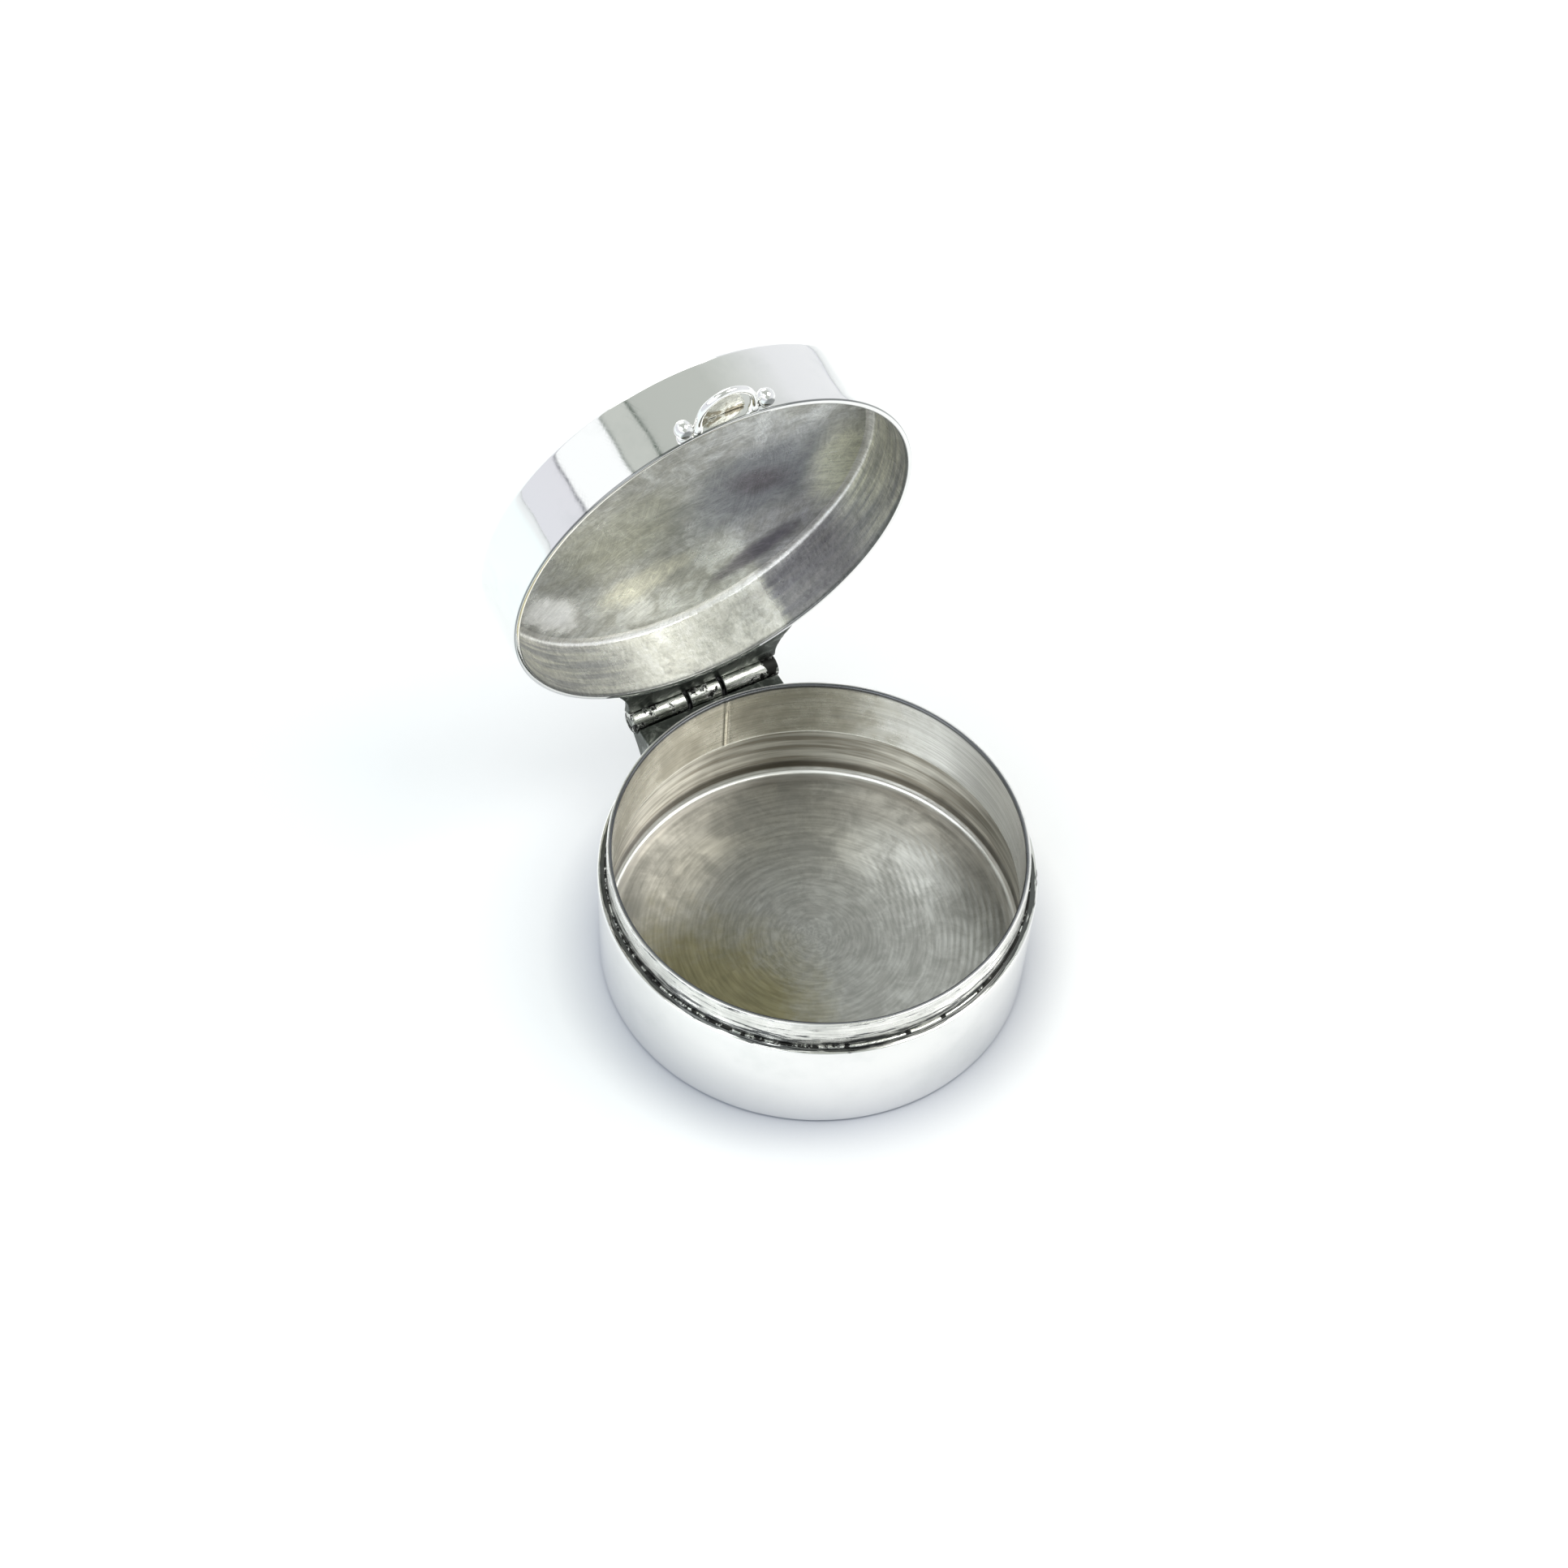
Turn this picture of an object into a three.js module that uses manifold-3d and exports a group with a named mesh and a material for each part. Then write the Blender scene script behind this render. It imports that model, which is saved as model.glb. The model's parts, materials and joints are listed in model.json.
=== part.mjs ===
// Round silver pill box with a hinged lid, standing open.
// Millimetres, +Z up, hinge at +Y, thumb piece at -Y, origin at the centre of the underside.
import * as THREE from 'three';
import { mergeVertices } from 'three/addons/utils/BufferGeometryUtils.js';
import Module from 'manifold-3d';

const wasm = await Module();
wasm.setup();

// Driving dimensions.
const ROUND_STEPS = 80; // sides of the large round pieces
const SMALL_STEPS = 14; // half the sides of the hinge barrel and its pin
const WIRE_STEPS = 5; // half the sides of the thumb loop's wire

const SHELL_RADIUS = 15; // outside of base and lid where they meet
const FOOT_RADIUS = 14.75; // outside of the slightly tapered base wall at its foot
const FOOT_ROUND = 0.35; // round between the wall and the flat underside
const SEAM_Z = 8.7; // height of the shoulder that the closed lid rests on
const SEAM_GAP = 0.06; // left between the closed lid and the shoulder
const EDGE_BREAK = 0.1; // small bevel on the rims
const BASE_BORE = 14.43; // inside of the base wall
const FLOOR_THICKNESS = 0.75;
const FLOOR_FILLET = 0.35;

const COLLAR_RADIUS = 14.38; // outside of the collar soldered into the base
const COLLAR_THICKNESS = 0.36;
const COLLAR_BOTTOM = 5.8;
const COLLAR_TOP = 11.15;
const COLLAR_SEAM_DEG = 88; // where the strip's two ends meet, from +X
const COLLAR_SEAM_GAP = 0.08;

const LID_DEPTH = 5.22; // rim to the outer edge of the top
const LID_BORE = 14.62; // inside of the lid wall
const LID_EDGE_ROUND = 0.3;
const LID_FILLET = 0.45; // inside, between wall and top
const LID_TOP_THICKNESS = 0.5;
const LID_CROWN = 0.35; // rise of the top at its middle

const OPEN_DEG = 84.4; // lid angle in the rest pose, against its stop
const HINGE_Y = 17.05;
const HINGE_Z = 8.6;
const BARREL_RADIUS = 0.8;
const HINGE_SHIFT = 0.25; // the hinge sits this far off the middle of the back, in X
const BARREL_HALF = 5.7;
const MIDDLE_HALF = 1.25; // half length of the base's knuckle
const KNUCKLE_GAP = 0.2; // end gap between knuckles
const PIN_RADIUS = 0.34;
const PRESS_BORE = 0.38; // bore of the lid's knuckles, which hold the pin
const RUNNING_BORE = 0.4; // bore of the base's knuckle, which turns on the pin
const SOLDER_GAP = 0.04; // between soldered neighbours
const RUNNING_GAP = 0.12; // between a knuckle and the other half's bracket

const BASE_BRACKET_HALF = 5.5; // half width of the base's bracket
const BRACKET_HALF = 5.8; // half width of the lid's bracket at the barrel
const FLARE_HALF = 7.1; // half width of the lid's bracket where it meets the wall
const ROOT_Y = SHELL_RADIUS - 2; // inside the wall, where the brackets' outlines start
const FLARE_BEND_Y = SHELL_RADIUS - 0.5; // control point of the flare's curve
const FLARE_END_Y = SHELL_RADIUS + 0.8; // where the flare runs out into the straight end
const HOLLOW_START_Y = SHELL_RADIUS + 0.1; // foot of the base bracket's hollow back
const HOLLOW_BEND = [SHELL_RADIUS + 1, HINGE_Z - 2]; // control point of that hollow
const LID_BRACKET_THICKNESS = 0.6;
const BASE_BRACKET_BOTTOM = 5.1;
const STOP_FACE_Y = HINGE_Y - 0.08; // back face of the base bracket, which stops the heels
const HEEL_LENGTH = 3;
const HEEL_REACH = 1.2; // how far a heel stands out from the hinge axis
const HEEL_WIDTH = 0.38; // at its root
const HEEL_TIP_SHARE = 0.6; // width of its tip as a share of the root's
const HEEL_GAP = 0.05;

const WIRE_RADIUS = 0.26;
const LOOP_HALF = 2.05; // half width of the thumb loop's centre line
const LOOP_REACH = 2.7; // how far its centre line stands out from the wall
const LOOP_HEIGHT = 0.5; // above the lid's rim
const LOOP_ROOT = 0.4; // depth inside the wall's outside at which the wire starts
const LOOP_BULGE = 0.06; // widening of the loop between its feet and its top
const LOOP_SQUARENESS = 0.8; // below 1 the loop is fuller than an ellipse
const LIP_ROOT = 0.3; // depth inside the wall's outside at which the tongue starts
const LIP_HALF = 1.6;
const LIP_REACH = 2.05;
const LIP_THICKNESS = 0.32;
const LIP_HEIGHT = 0.95; // its centre, above the lid's rim
const BEAD_RADIUS = 0.64;
const BEAD_X = 3.0; // from the middle of the thumb piece
const BEAD_OUT = 0.5; // bead centre, outside the lid wall
const THUMB_SHIFT = -0.3; // the thumb piece sits this far off the middle of the lid's front

const RIM_Z = SEAM_Z + SEAM_GAP; // rim of the closed lid
const radians = THREE.MathUtils.degToRad;

// Finish of each kind of surface.
const polished = { color: 0xe9e8e4, roughness: 0.12, metalness: 1 };
const satin = { color: 0xc9c6bd, roughness: 0.34, metalness: 1 };
const aged = { color: 0xb7b4aa, roughness: 0.28, metalness: 1 };

// ---- Helpers -------------------------------------------------------------------------------

// Joins shared vertices, drops collapsed triangles and turns the faces outwards.
function closeSurface(geometry) {
  const bare = geometry.clone();
  bare.deleteAttribute('normal');
  bare.deleteAttribute('uv');
  const merged = mergeVertices(bare, 1e-5);
  const faces = [];
  for (let i = 0; i < merged.index.count; i += 3) {
    const [a, b, c] = [0, 1, 2].map((k) => merged.index.getX(i + k));
    if (a !== b && b !== c && c !== a) faces.push(a, b, c);
  }
  merged.setIndex(signedVolume(merged.attributes.position, faces) < 0 ? faces.reverse() : faces);
  return merged;
}

function signedVolume(position, faces) {
  const [a, b, c] = [0, 1, 2].map(() => new THREE.Vector3());
  let sum = 0;
  for (let i = 0; i < faces.length; i += 3) {
    a.fromBufferAttribute(position, faces[i]);
    b.fromBufferAttribute(position, faces[i + 1]);
    c.fromBufferAttribute(position, faces[i + 2]);
    sum += a.dot(b.cross(c)) / 6;
  }
  return sum;
}

function toSolid(geometry) {
  const closed = closeSurface(geometry);
  const vertProperties = new Float32Array(closed.attributes.position.array);
  const triVerts = new Uint32Array(closed.index.array);
  return new wasm.Manifold(new wasm.Mesh({ numProp: 3, vertProperties, triVerts }));
}

function toGeometry(solid) {
  const mesh = solid.getMesh();
  const geometry = new THREE.BufferGeometry();
  geometry.setAttribute('position', new THREE.BufferAttribute(mesh.vertProperties, 3));
  geometry.setIndex(new THREE.BufferAttribute(mesh.triVerts, 1));
  geometry.computeVertexNormals();
  return geometry;
}

// Points of an arc in the (radius, height) plane, angles in degrees.
function arc(centreR, centreZ, radius, fromDeg, toDeg, steps) {
  const points = [];
  for (let i = 0; i <= steps; i += 1) {
    const angle = radians(fromDeg + ((toDeg - fromDeg) * i) / steps);
    points.push([centreR + radius * Math.cos(angle), centreZ + radius * Math.sin(angle)]);
  }
  return points;
}

// Turns a (radius, height) outline about the Z axis.
function turned(outline, steps = ROUND_STEPS) {
  const points = outline.map(([r, z]) => new THREE.Vector2(Math.max(r, 0), z));
  const geometry = new THREE.LatheGeometry(points, steps);
  geometry.rotateX(Math.PI / 2);
  return closeSurface(geometry);
}

function shapeOf(outline) {
  return new THREE.Shape(outline.map(([u, v]) => new THREE.Vector2(u, v)));
}

// Extrudes a (y, z) shape along X, between two ends measured from the middle of the hinge.
function alongX(shape, fromX, toX) {
  const options = { depth: toX - fromX, bevelEnabled: false, curveSegments: SMALL_STEPS };
  const geometry = new THREE.ExtrudeGeometry(shape, options);
  const basis = new THREE.Matrix4().makeBasis(
    new THREE.Vector3(0, 1, 0),
    new THREE.Vector3(0, 0, 1),
    new THREE.Vector3(1, 0, 0),
  );
  geometry.applyMatrix4(basis);
  geometry.translate(HINGE_SHIFT + fromX, 0, 0);
  return geometry;
}

// Extrudes an (x, y) shape along Z.
function alongZ(shape, fromZ, toZ) {
  const options = { depth: toZ - fromZ, bevelEnabled: false, curveSegments: ROUND_STEPS };
  const geometry = new THREE.ExtrudeGeometry(shape, options);
  geometry.translate(0, 0, fromZ);
  return geometry;
}

// A round bar on the hinge axis.
function hingeBar(radius, fromX, toX) {
  const shape = new THREE.Shape();
  shape.absarc(HINGE_Y, HINGE_Z, radius, 0, 2 * Math.PI, false);
  return alongX(shape, fromX, toX);
}

// What the outside of the base and the closed lid fills, grown by the solder gap.
function wallBody() {
  const foot = FOOT_RADIUS + SOLDER_GAP;
  const shell = SHELL_RADIUS + SOLDER_GAP;
  return turned([[0, 0], [foot, 0], [shell, SEAM_Z], [shell, SEAM_Z + LID_DEPTH], [0, SEAM_Z + LID_DEPTH]]);
}

// ---- Base ----------------------------------------------------------------------------------

// Cup with a flat underside, a slightly tapered wall and a flat shoulder.
function baseShell() {
  const footFlat = FOOT_RADIUS - FOOT_ROUND;
  const filletR = BASE_BORE - FLOOR_FILLET;
  return turned([
    [0, 0],
    ...arc(footFlat, FOOT_ROUND, FOOT_ROUND, -90, 0, 3),
    [SHELL_RADIUS, SEAM_Z - EDGE_BREAK],
    [SHELL_RADIUS - EDGE_BREAK, SEAM_Z],
    [BASE_BORE, SEAM_Z],
    ...arc(filletR, FLOOR_THICKNESS + FLOOR_FILLET, FLOOR_FILLET, 0, -90, 3),
    [0, FLOOR_THICKNESS],
  ]);
}

// Strip bent into a ring, with its ends meeting in a butt seam beside the hinge.
function collar() {
  const inner = COLLAR_RADIUS - COLLAR_THICKNESS;
  const halfGap = COLLAR_SEAM_GAP / 2 / COLLAR_RADIUS;
  const start = radians(COLLAR_SEAM_DEG) + halfGap;
  const end = radians(COLLAR_SEAM_DEG + 360) - halfGap;
  const shape = new THREE.Shape();
  shape.absarc(0, 0, COLLAR_RADIUS, start, end, false);
  shape.absarc(0, 0, inner, end, start, true);
  const options = { depth: COLLAR_TOP - COLLAR_BOTTOM, bevelEnabled: false, curveSegments: ROUND_STEPS };
  const strip = new THREE.ExtrudeGeometry(shape, options);
  strip.translate(0, 0, COLLAR_BOTTOM);
  const bevelled = toSolid(strip).subtract(toSolid(collarBevel()));
  return toGeometry(bevelled);
}

// Ring that breaks the collar's top outer edge, so the lid passes over it.
function collarBevel() {
  const out = COLLAR_RADIUS + 1;
  return turned([
    [COLLAR_RADIUS - EDGE_BREAK, COLLAR_TOP + 1],
    [COLLAR_RADIUS - EDGE_BREAK, COLLAR_TOP],
    [COLLAR_RADIUS, COLLAR_TOP - EDGE_BREAK],
    [out, COLLAR_TOP - EDGE_BREAK],
    [out, COLLAR_TOP + 1],
    [COLLAR_RADIUS - EDGE_BREAK, COLLAR_TOP + 1],
  ]);
}

// Plan of the lid's bracket about its middle: straight at the barrel, flaring out to the wall.
function lidBracketPlan(backY) {
  const shape = new THREE.Shape();
  shape.moveTo(-FLARE_HALF, ROOT_Y);
  shape.lineTo(FLARE_HALF, ROOT_Y);
  shape.quadraticCurveTo(BRACKET_HALF, FLARE_BEND_Y, BRACKET_HALF, FLARE_END_Y);
  shape.lineTo(BRACKET_HALF, backY);
  shape.lineTo(-BRACKET_HALF, backY);
  shape.lineTo(-BRACKET_HALF, FLARE_END_Y);
  shape.quadraticCurveTo(-BRACKET_HALF, FLARE_BEND_Y, -FLARE_HALF, ROOT_Y);
  return shape;
}

// Section of the base bracket: flat on top, a stop face at the back, hollowed down to the wall.
function baseBracketSection() {
  const top = SEAM_Z - SEAM_GAP;
  const shape = new THREE.Shape();
  shape.moveTo(ROOT_Y, BASE_BRACKET_BOTTOM);
  shape.lineTo(HOLLOW_START_Y, BASE_BRACKET_BOTTOM);
  shape.quadraticCurveTo(...HOLLOW_BEND, STOP_FACE_Y, HINGE_Z - HEEL_REACH);
  shape.lineTo(STOP_FACE_Y, HINGE_Z - BARREL_RADIUS / 2);
  shape.lineTo(HINGE_Y - BARREL_RADIUS, top);
  shape.lineTo(ROOT_Y, top);
  return shape;
}

function baseHingeBracket() {
  const block = toSolid(alongX(baseBracketSection(), -BASE_BRACKET_HALF, BASE_BRACKET_HALF));
  const seat = toSolid(hingeBar(BARREL_RADIUS + SOLDER_GAP, -FLARE_HALF, FLARE_HALF));
  let body = block.subtract(toSolid(wallBody())).subtract(seat);
  for (const side of [-1, 1]) {
    const ends = [side * (MIDDLE_HALF + KNUCKLE_GAP / 2), side * FLARE_HALF];
    const room = hingeBar(BARREL_RADIUS + RUNNING_GAP, Math.min(...ends), Math.max(...ends));
    body = body.subtract(toSolid(room));
  }
  return toGeometry(body);
}

// A length of hinge tube on the hinge axis.
function knuckleTube(bore, fromX, toX) {
  const shape = new THREE.Shape();
  shape.absarc(HINGE_Y, HINGE_Z, BARREL_RADIUS, 0, 2 * Math.PI, false);
  const hole = new THREE.Path();
  hole.absarc(HINGE_Y, HINGE_Z, bore, 0, 2 * Math.PI, true);
  shape.holes.push(hole);
  return alongX(shape, fromX, toX);
}

// ---- Lid, drawn closed ---------------------------------------------------------------------

// Shallow cap with a crowned top, open at its rim.
function lidShell() {
  const edgeZ = RIM_Z + LID_DEPTH;
  const roundR = SHELL_RADIUS - LID_EDGE_ROUND;
  const insideZ = edgeZ - LID_TOP_THICKNESS;
  const filletR = LID_BORE - LID_FILLET;
  return turned([
    [0, insideZ + LID_CROWN],
    ...crown(filletR, insideZ, 3),
    ...arc(filletR, insideZ - LID_FILLET, LID_FILLET, 90, 0, 3),
    [LID_BORE, RIM_Z],
    [SHELL_RADIUS - EDGE_BREAK, RIM_Z],
    [SHELL_RADIUS, RIM_Z + EDGE_BREAK],
    ...arc(roundR, edgeZ - LID_EDGE_ROUND, LID_EDGE_ROUND, 0, 90, 3),
    ...crown(roundR, edgeZ, 3).reverse(),
    [0, edgeZ + LID_CROWN],
  ]);
}

// Points between the middle of a crowned disc and its edge, without either end.
function crown(radius, edgeZ, steps) {
  const points = [];
  for (let i = 1; i < steps; i += 1) {
    const share = i / steps;
    points.push([radius * share, edgeZ + LID_CROWN * (1 - share * share)]);
  }
  return points;
}

function lidHingeBracket() {
  const plan = lidBracketPlan(HINGE_Y - BARREL_RADIUS / 2);
  const slab = alongZ(plan, RIM_Z, RIM_Z + LID_BRACKET_THICKNESS);
  slab.translate(HINGE_SHIFT, 0, 0);
  const plate = toSolid(slab);
  const seat = toSolid(hingeBar(BARREL_RADIUS + SOLDER_GAP, -FLARE_HALF, FLARE_HALF));
  const roomHalf = MIDDLE_HALF + KNUCKLE_GAP;
  const room = toSolid(hingeBar(BARREL_RADIUS + RUNNING_GAP, -roomHalf, roomHalf));
  return toGeometry(plate.subtract(toSolid(wallBody())).subtract(seat).subtract(room));
}

// Lid knuckle with a heel that meets the base bracket when the lid is fully open.
function lidKnuckle(side) {
  const ends = [side * (MIDDLE_HALF + KNUCKLE_GAP), side * BARREL_HALF];
  const fromX = Math.min(...ends);
  const toX = Math.max(...ends);
  const middle = (fromX + toX) / 2;
  const heelY = STOP_FACE_Y - HINGE_Y + HEEL_GAP;
  const section = shapeOf([
    [heelY, -HEEL_REACH],
    [heelY + HEEL_WIDTH * HEEL_TIP_SHARE, -HEEL_REACH],
    [heelY + HEEL_WIDTH, -(BARREL_RADIUS + PRESS_BORE) / 2],
    [heelY, -(BARREL_RADIUS + PRESS_BORE) / 2],
  ]);
  const heel = alongX(section, middle - HEEL_LENGTH / 2, middle + HEEL_LENGTH / 2);
  heel.rotateX(radians(OPEN_DEG));
  heel.translate(0, HINGE_Y, HINGE_Z);
  return toGeometry(toSolid(knuckleTube(PRESS_BORE, fromX, toX)).add(toSolid(heel)));
}

// Point of the thumb loop's centre line, from 0 at one foot to 1 at the other.
class LoopLine extends THREE.Curve {
  getPoint(t, target = new THREE.Vector3()) {
    const angle = Math.PI * t;
    const x = -LOOP_HALF * Math.cos(angle) * (1 + LOOP_BULGE * Math.sin(2 * angle) ** 2);
    const out = LOOP_REACH * Math.sin(angle) ** LOOP_SQUARENESS + LOOP_ROOT * (Math.sin(angle) - 1);
    return target.set(x, -SHELL_RADIUS - out, RIM_Z + LOOP_HEIGHT);
  }
}

// Turns a thumb piece drawn at the middle of the front to its place, and fits it to the wall.
function onLidWall(geometry) {
  geometry.rotateZ(THUMB_SHIFT / SHELL_RADIUS);
  return toGeometry(toSolid(geometry).subtract(toSolid(wallBody())));
}

function thumbLoop() {
  const section = new THREE.Shape();
  section.absarc(0, 0, WIRE_RADIUS, 0, 2 * Math.PI, false);
  const options = { steps: 26, curveSegments: WIRE_STEPS, extrudePath: new LoopLine() };
  return onLidWall(new THREE.ExtrudeGeometry(section, options));
}

// Half-round tongue that fills most of the loop.
function thumbLip() {
  const shape = new THREE.Shape();
  const reach = LIP_REACH + LIP_ROOT;
  shape.absellipse(0, -SHELL_RADIUS + LIP_ROOT, LIP_HALF, reach, Math.PI, 2 * Math.PI, false);
  const low = RIM_Z + LIP_HEIGHT - LIP_THICKNESS / 2;
  const options = { depth: LIP_THICKNESS, bevelEnabled: false, curveSegments: SMALL_STEPS };
  const tongue = new THREE.ExtrudeGeometry(shape, options);
  tongue.translate(0, 0, low);
  return onLidWall(tongue);
}

function thumbBead(side) {
  const out = SHELL_RADIUS + BEAD_OUT;
  const bead = new THREE.SphereGeometry(BEAD_RADIUS, 18, 11);
  bead.translate(side * BEAD_X, -Math.sqrt(out * out - BEAD_X * BEAD_X), RIM_Z + BEAD_RADIUS);
  return onLidWall(bead);
}

// ---- Assembly ------------------------------------------------------------------------------

function piece(name, geometry, finish) {
  const mesh = new THREE.Mesh(geometry, new THREE.MeshStandardMaterial(finish));
  mesh.name = name;
  return mesh;
}

// Pieces drawn closed are moved so that the lid group's origin is the hinge axis.
function lidPiece(name, geometry, finish) {
  geometry.translate(0, -HINGE_Y, -HINGE_Z);
  return piece(name, geometry, finish);
}

const pinHalf = BARREL_HALF + SOLDER_GAP;

const lid = new THREE.Group();
lid.position.set(0, HINGE_Y, HINGE_Z);
lid.rotation.x = -radians(OPEN_DEG);
lid.add(
  lidPiece('lid_shell', lidShell(), polished),
  lidPiece('lid_hinge_bracket', lidHingeBracket(), aged),
  lidPiece('lid_knuckle_left', lidKnuckle(-1), aged),
  lidPiece('lid_knuckle_right', lidKnuckle(1), aged),
  lidPiece('hinge_pin', hingeBar(PIN_RADIUS, -pinHalf, pinHalf), aged),
  lidPiece('thumb_loop', thumbLoop(), polished),
  lidPiece('thumb_lip', thumbLip(), polished),
  lidPiece('thumb_bead_left', thumbBead(-1), polished),
  lidPiece('thumb_bead_right', thumbBead(1), polished),
);

const pillBox = new THREE.Group();
pillBox.add(
  piece('base_shell', baseShell(), polished),
  piece('base_collar', collar(), satin),
  piece('base_hinge_bracket', baseHingeBracket(), aged),
  piece('base_knuckle', knuckleTube(RUNNING_BORE, -MIDDLE_HALF, MIDDLE_HALF), aged),
  lid,
);

export default pillBox;
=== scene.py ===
"""Looks of the silver pill box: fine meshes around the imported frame, silver materials, studio."""

import json
import math

import bmesh
import bpy
from mathutils import Matrix, Vector, noise


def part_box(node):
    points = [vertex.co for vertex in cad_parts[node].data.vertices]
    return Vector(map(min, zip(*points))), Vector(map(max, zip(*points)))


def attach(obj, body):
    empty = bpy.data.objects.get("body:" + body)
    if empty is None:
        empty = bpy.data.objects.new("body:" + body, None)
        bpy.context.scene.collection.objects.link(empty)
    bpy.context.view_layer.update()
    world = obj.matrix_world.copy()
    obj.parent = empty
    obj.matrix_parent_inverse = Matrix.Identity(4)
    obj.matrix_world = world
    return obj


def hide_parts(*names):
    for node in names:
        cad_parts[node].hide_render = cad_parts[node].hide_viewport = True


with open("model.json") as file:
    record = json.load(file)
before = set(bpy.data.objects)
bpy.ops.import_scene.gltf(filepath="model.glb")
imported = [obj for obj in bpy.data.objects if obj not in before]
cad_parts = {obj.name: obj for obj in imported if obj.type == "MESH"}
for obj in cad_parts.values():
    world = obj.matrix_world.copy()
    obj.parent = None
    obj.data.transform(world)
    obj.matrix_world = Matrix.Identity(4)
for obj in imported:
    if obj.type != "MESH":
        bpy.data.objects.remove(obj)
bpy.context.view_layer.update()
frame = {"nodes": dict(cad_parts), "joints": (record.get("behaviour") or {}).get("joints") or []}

# ---- Sizes, in metres, from the frame where it holds them --------------------------------------

MM = 0.001
HINGE = next(j for j in frame["joints"] if j["name"] == "lid_hinge")
HINGE_POINT = Vector(HINGE["pos_m"])
OPEN_ANGLE = math.radians(HINGE["range_deg"][1])

_, BASE_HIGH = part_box("base_shell")
COLLAR_LOW, COLLAR_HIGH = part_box("base_collar")
MIDDLE_LOW, MIDDLE_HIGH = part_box("base_knuckle")
LEFT_LOW, LEFT_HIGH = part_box("lid_knuckle_left")
RIGHT_LOW, RIGHT_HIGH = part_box("lid_knuckle_right")
PIN_LOW, PIN_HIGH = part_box("hinge_pin")

SHELL_RADIUS = BASE_HIGH.x
SEAM_Z = BASE_HIGH.z
SEAM_GAP = 0.06 * MM
RIM_Z = SEAM_Z + SEAM_GAP
FOOT_TAPER = 0.25 * MM
FOOT_RADIUS = SHELL_RADIUS - FOOT_TAPER
FOOT_ROUND = 0.35 * MM
EDGE_ROUND = 0.1 * MM
BASE_THICKNESS = 0.57 * MM
BASE_BORE = SHELL_RADIUS - BASE_THICKNESS
FLOOR_Z = 0.75 * MM
FLOOR_FILLET = 0.35 * MM

COLLAR_RADIUS = COLLAR_HIGH.x
COLLAR_THICKNESS = 0.36 * MM
COLLAR_BORE = COLLAR_RADIUS - COLLAR_THICKNESS
COLLAR_SEAM = math.radians(88)
COLLAR_INNER_FACE = (COLLAR_BORE + 0.12 * MM, COLLAR_BORE + 0.2 * MM)
SEAM_RIDGE_HALF = 0.4 * MM
SEAM_RIDGE_HEIGHT = 0.02 * MM
SOLDER_SIZE = 0.1 * MM

LID_DEPTH = 5.22 * MM
LID_THICKNESS = 0.38 * MM
LID_BORE = SHELL_RADIUS - LID_THICKNESS
LID_EDGE_ROUND = 0.3 * MM
LID_FILLET = 0.45 * MM
LID_TOP_THICKNESS = 0.5 * MM
LID_CROWN = 0.35 * MM

BARREL_RADIUS = (MIDDLE_HIGH.z - MIDDLE_LOW.z) / 2
PIN_RADIUS = (PIN_HIGH.z - PIN_LOW.z) / 2
KNUCKLE_BORE = 0.39 * MM
HEEL_LENGTH = 3 * MM
HEEL_REACH = 1.2 * MM

WIRE_RADIUS = 0.25 * MM
LOOP_HALF = 2.05 * MM
LOOP_REACH = 2.7 * MM
LOOP_ROOT = 0.4 * MM
LOOP_HEIGHT = 0.5 * MM
LOOP_BULGE = 0.06
LOOP_SQUARENESS = 0.8
BEAD_RADIUS = 0.64 * MM
BEAD_X = 3.0 * MM
BEAD_OUT = 0.5 * MM
THUMB_SHIFT = -0.3 * MM

ROUND_STEPS = 256
WALL_STEP = 0.5 * MM
SHARP_ANGLE = math.radians(40)
WALL_MIDDLE = 14 * MM  # radius at which the walls' marks are measured along their arc

# Turns a thumb piece drawn at the middle of the closed lid's front to its place there.
TO_THUMB = Matrix.Rotation(THUMB_SHIFT / SHELL_RADIUS, 4, "Z")

# Turns a point of the closed lid to where it is with the lid open, as the frame stands at rest.
TO_OPEN = (
    Matrix.Translation(HINGE_POINT)
    @ Matrix.Rotation(-OPEN_ANGLE, 4, "X")
    @ Matrix.Translation(-HINGE_POINT)
)

# Lays a piece turned about Z along the hinge axis.
ALONG_HINGE = (
    Matrix.Translation(Vector((0, HINGE_POINT.y, HINGE_POINT.z)))
    @ Matrix.Rotation(math.pi / 2, 4, "Y")
)


# ---- Mesh helpers ------------------------------------------------------------------------------

def arc(centre_r, centre_z, radius, from_deg, to_deg, steps):
    """Points of an arc in the (radius, height) plane."""
    points = []
    for i in range(steps + 1):
        angle = math.radians(from_deg + (to_deg - from_deg) * i / steps)
        points.append((centre_r + radius * math.cos(angle), centre_z + radius * math.sin(angle)))
    return points


def refine(outline, step, closed):
    """Adds points so that no stretch of the outline is longer than step."""
    ends = outline[1:] + (outline[:1] if closed else [])
    fine = []
    for (r0, z0), (r1, z1) in zip(outline, ends):
        count = max(1, math.ceil(math.hypot(r1 - r0, z1 - z0) / step))
        for i in range(count):
            fine.append((r0 + (r1 - r0) * i / count, z0 + (z1 - z0) * i / count))
    if not closed:
        fine.append(outline[-1])
    return fine


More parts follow.
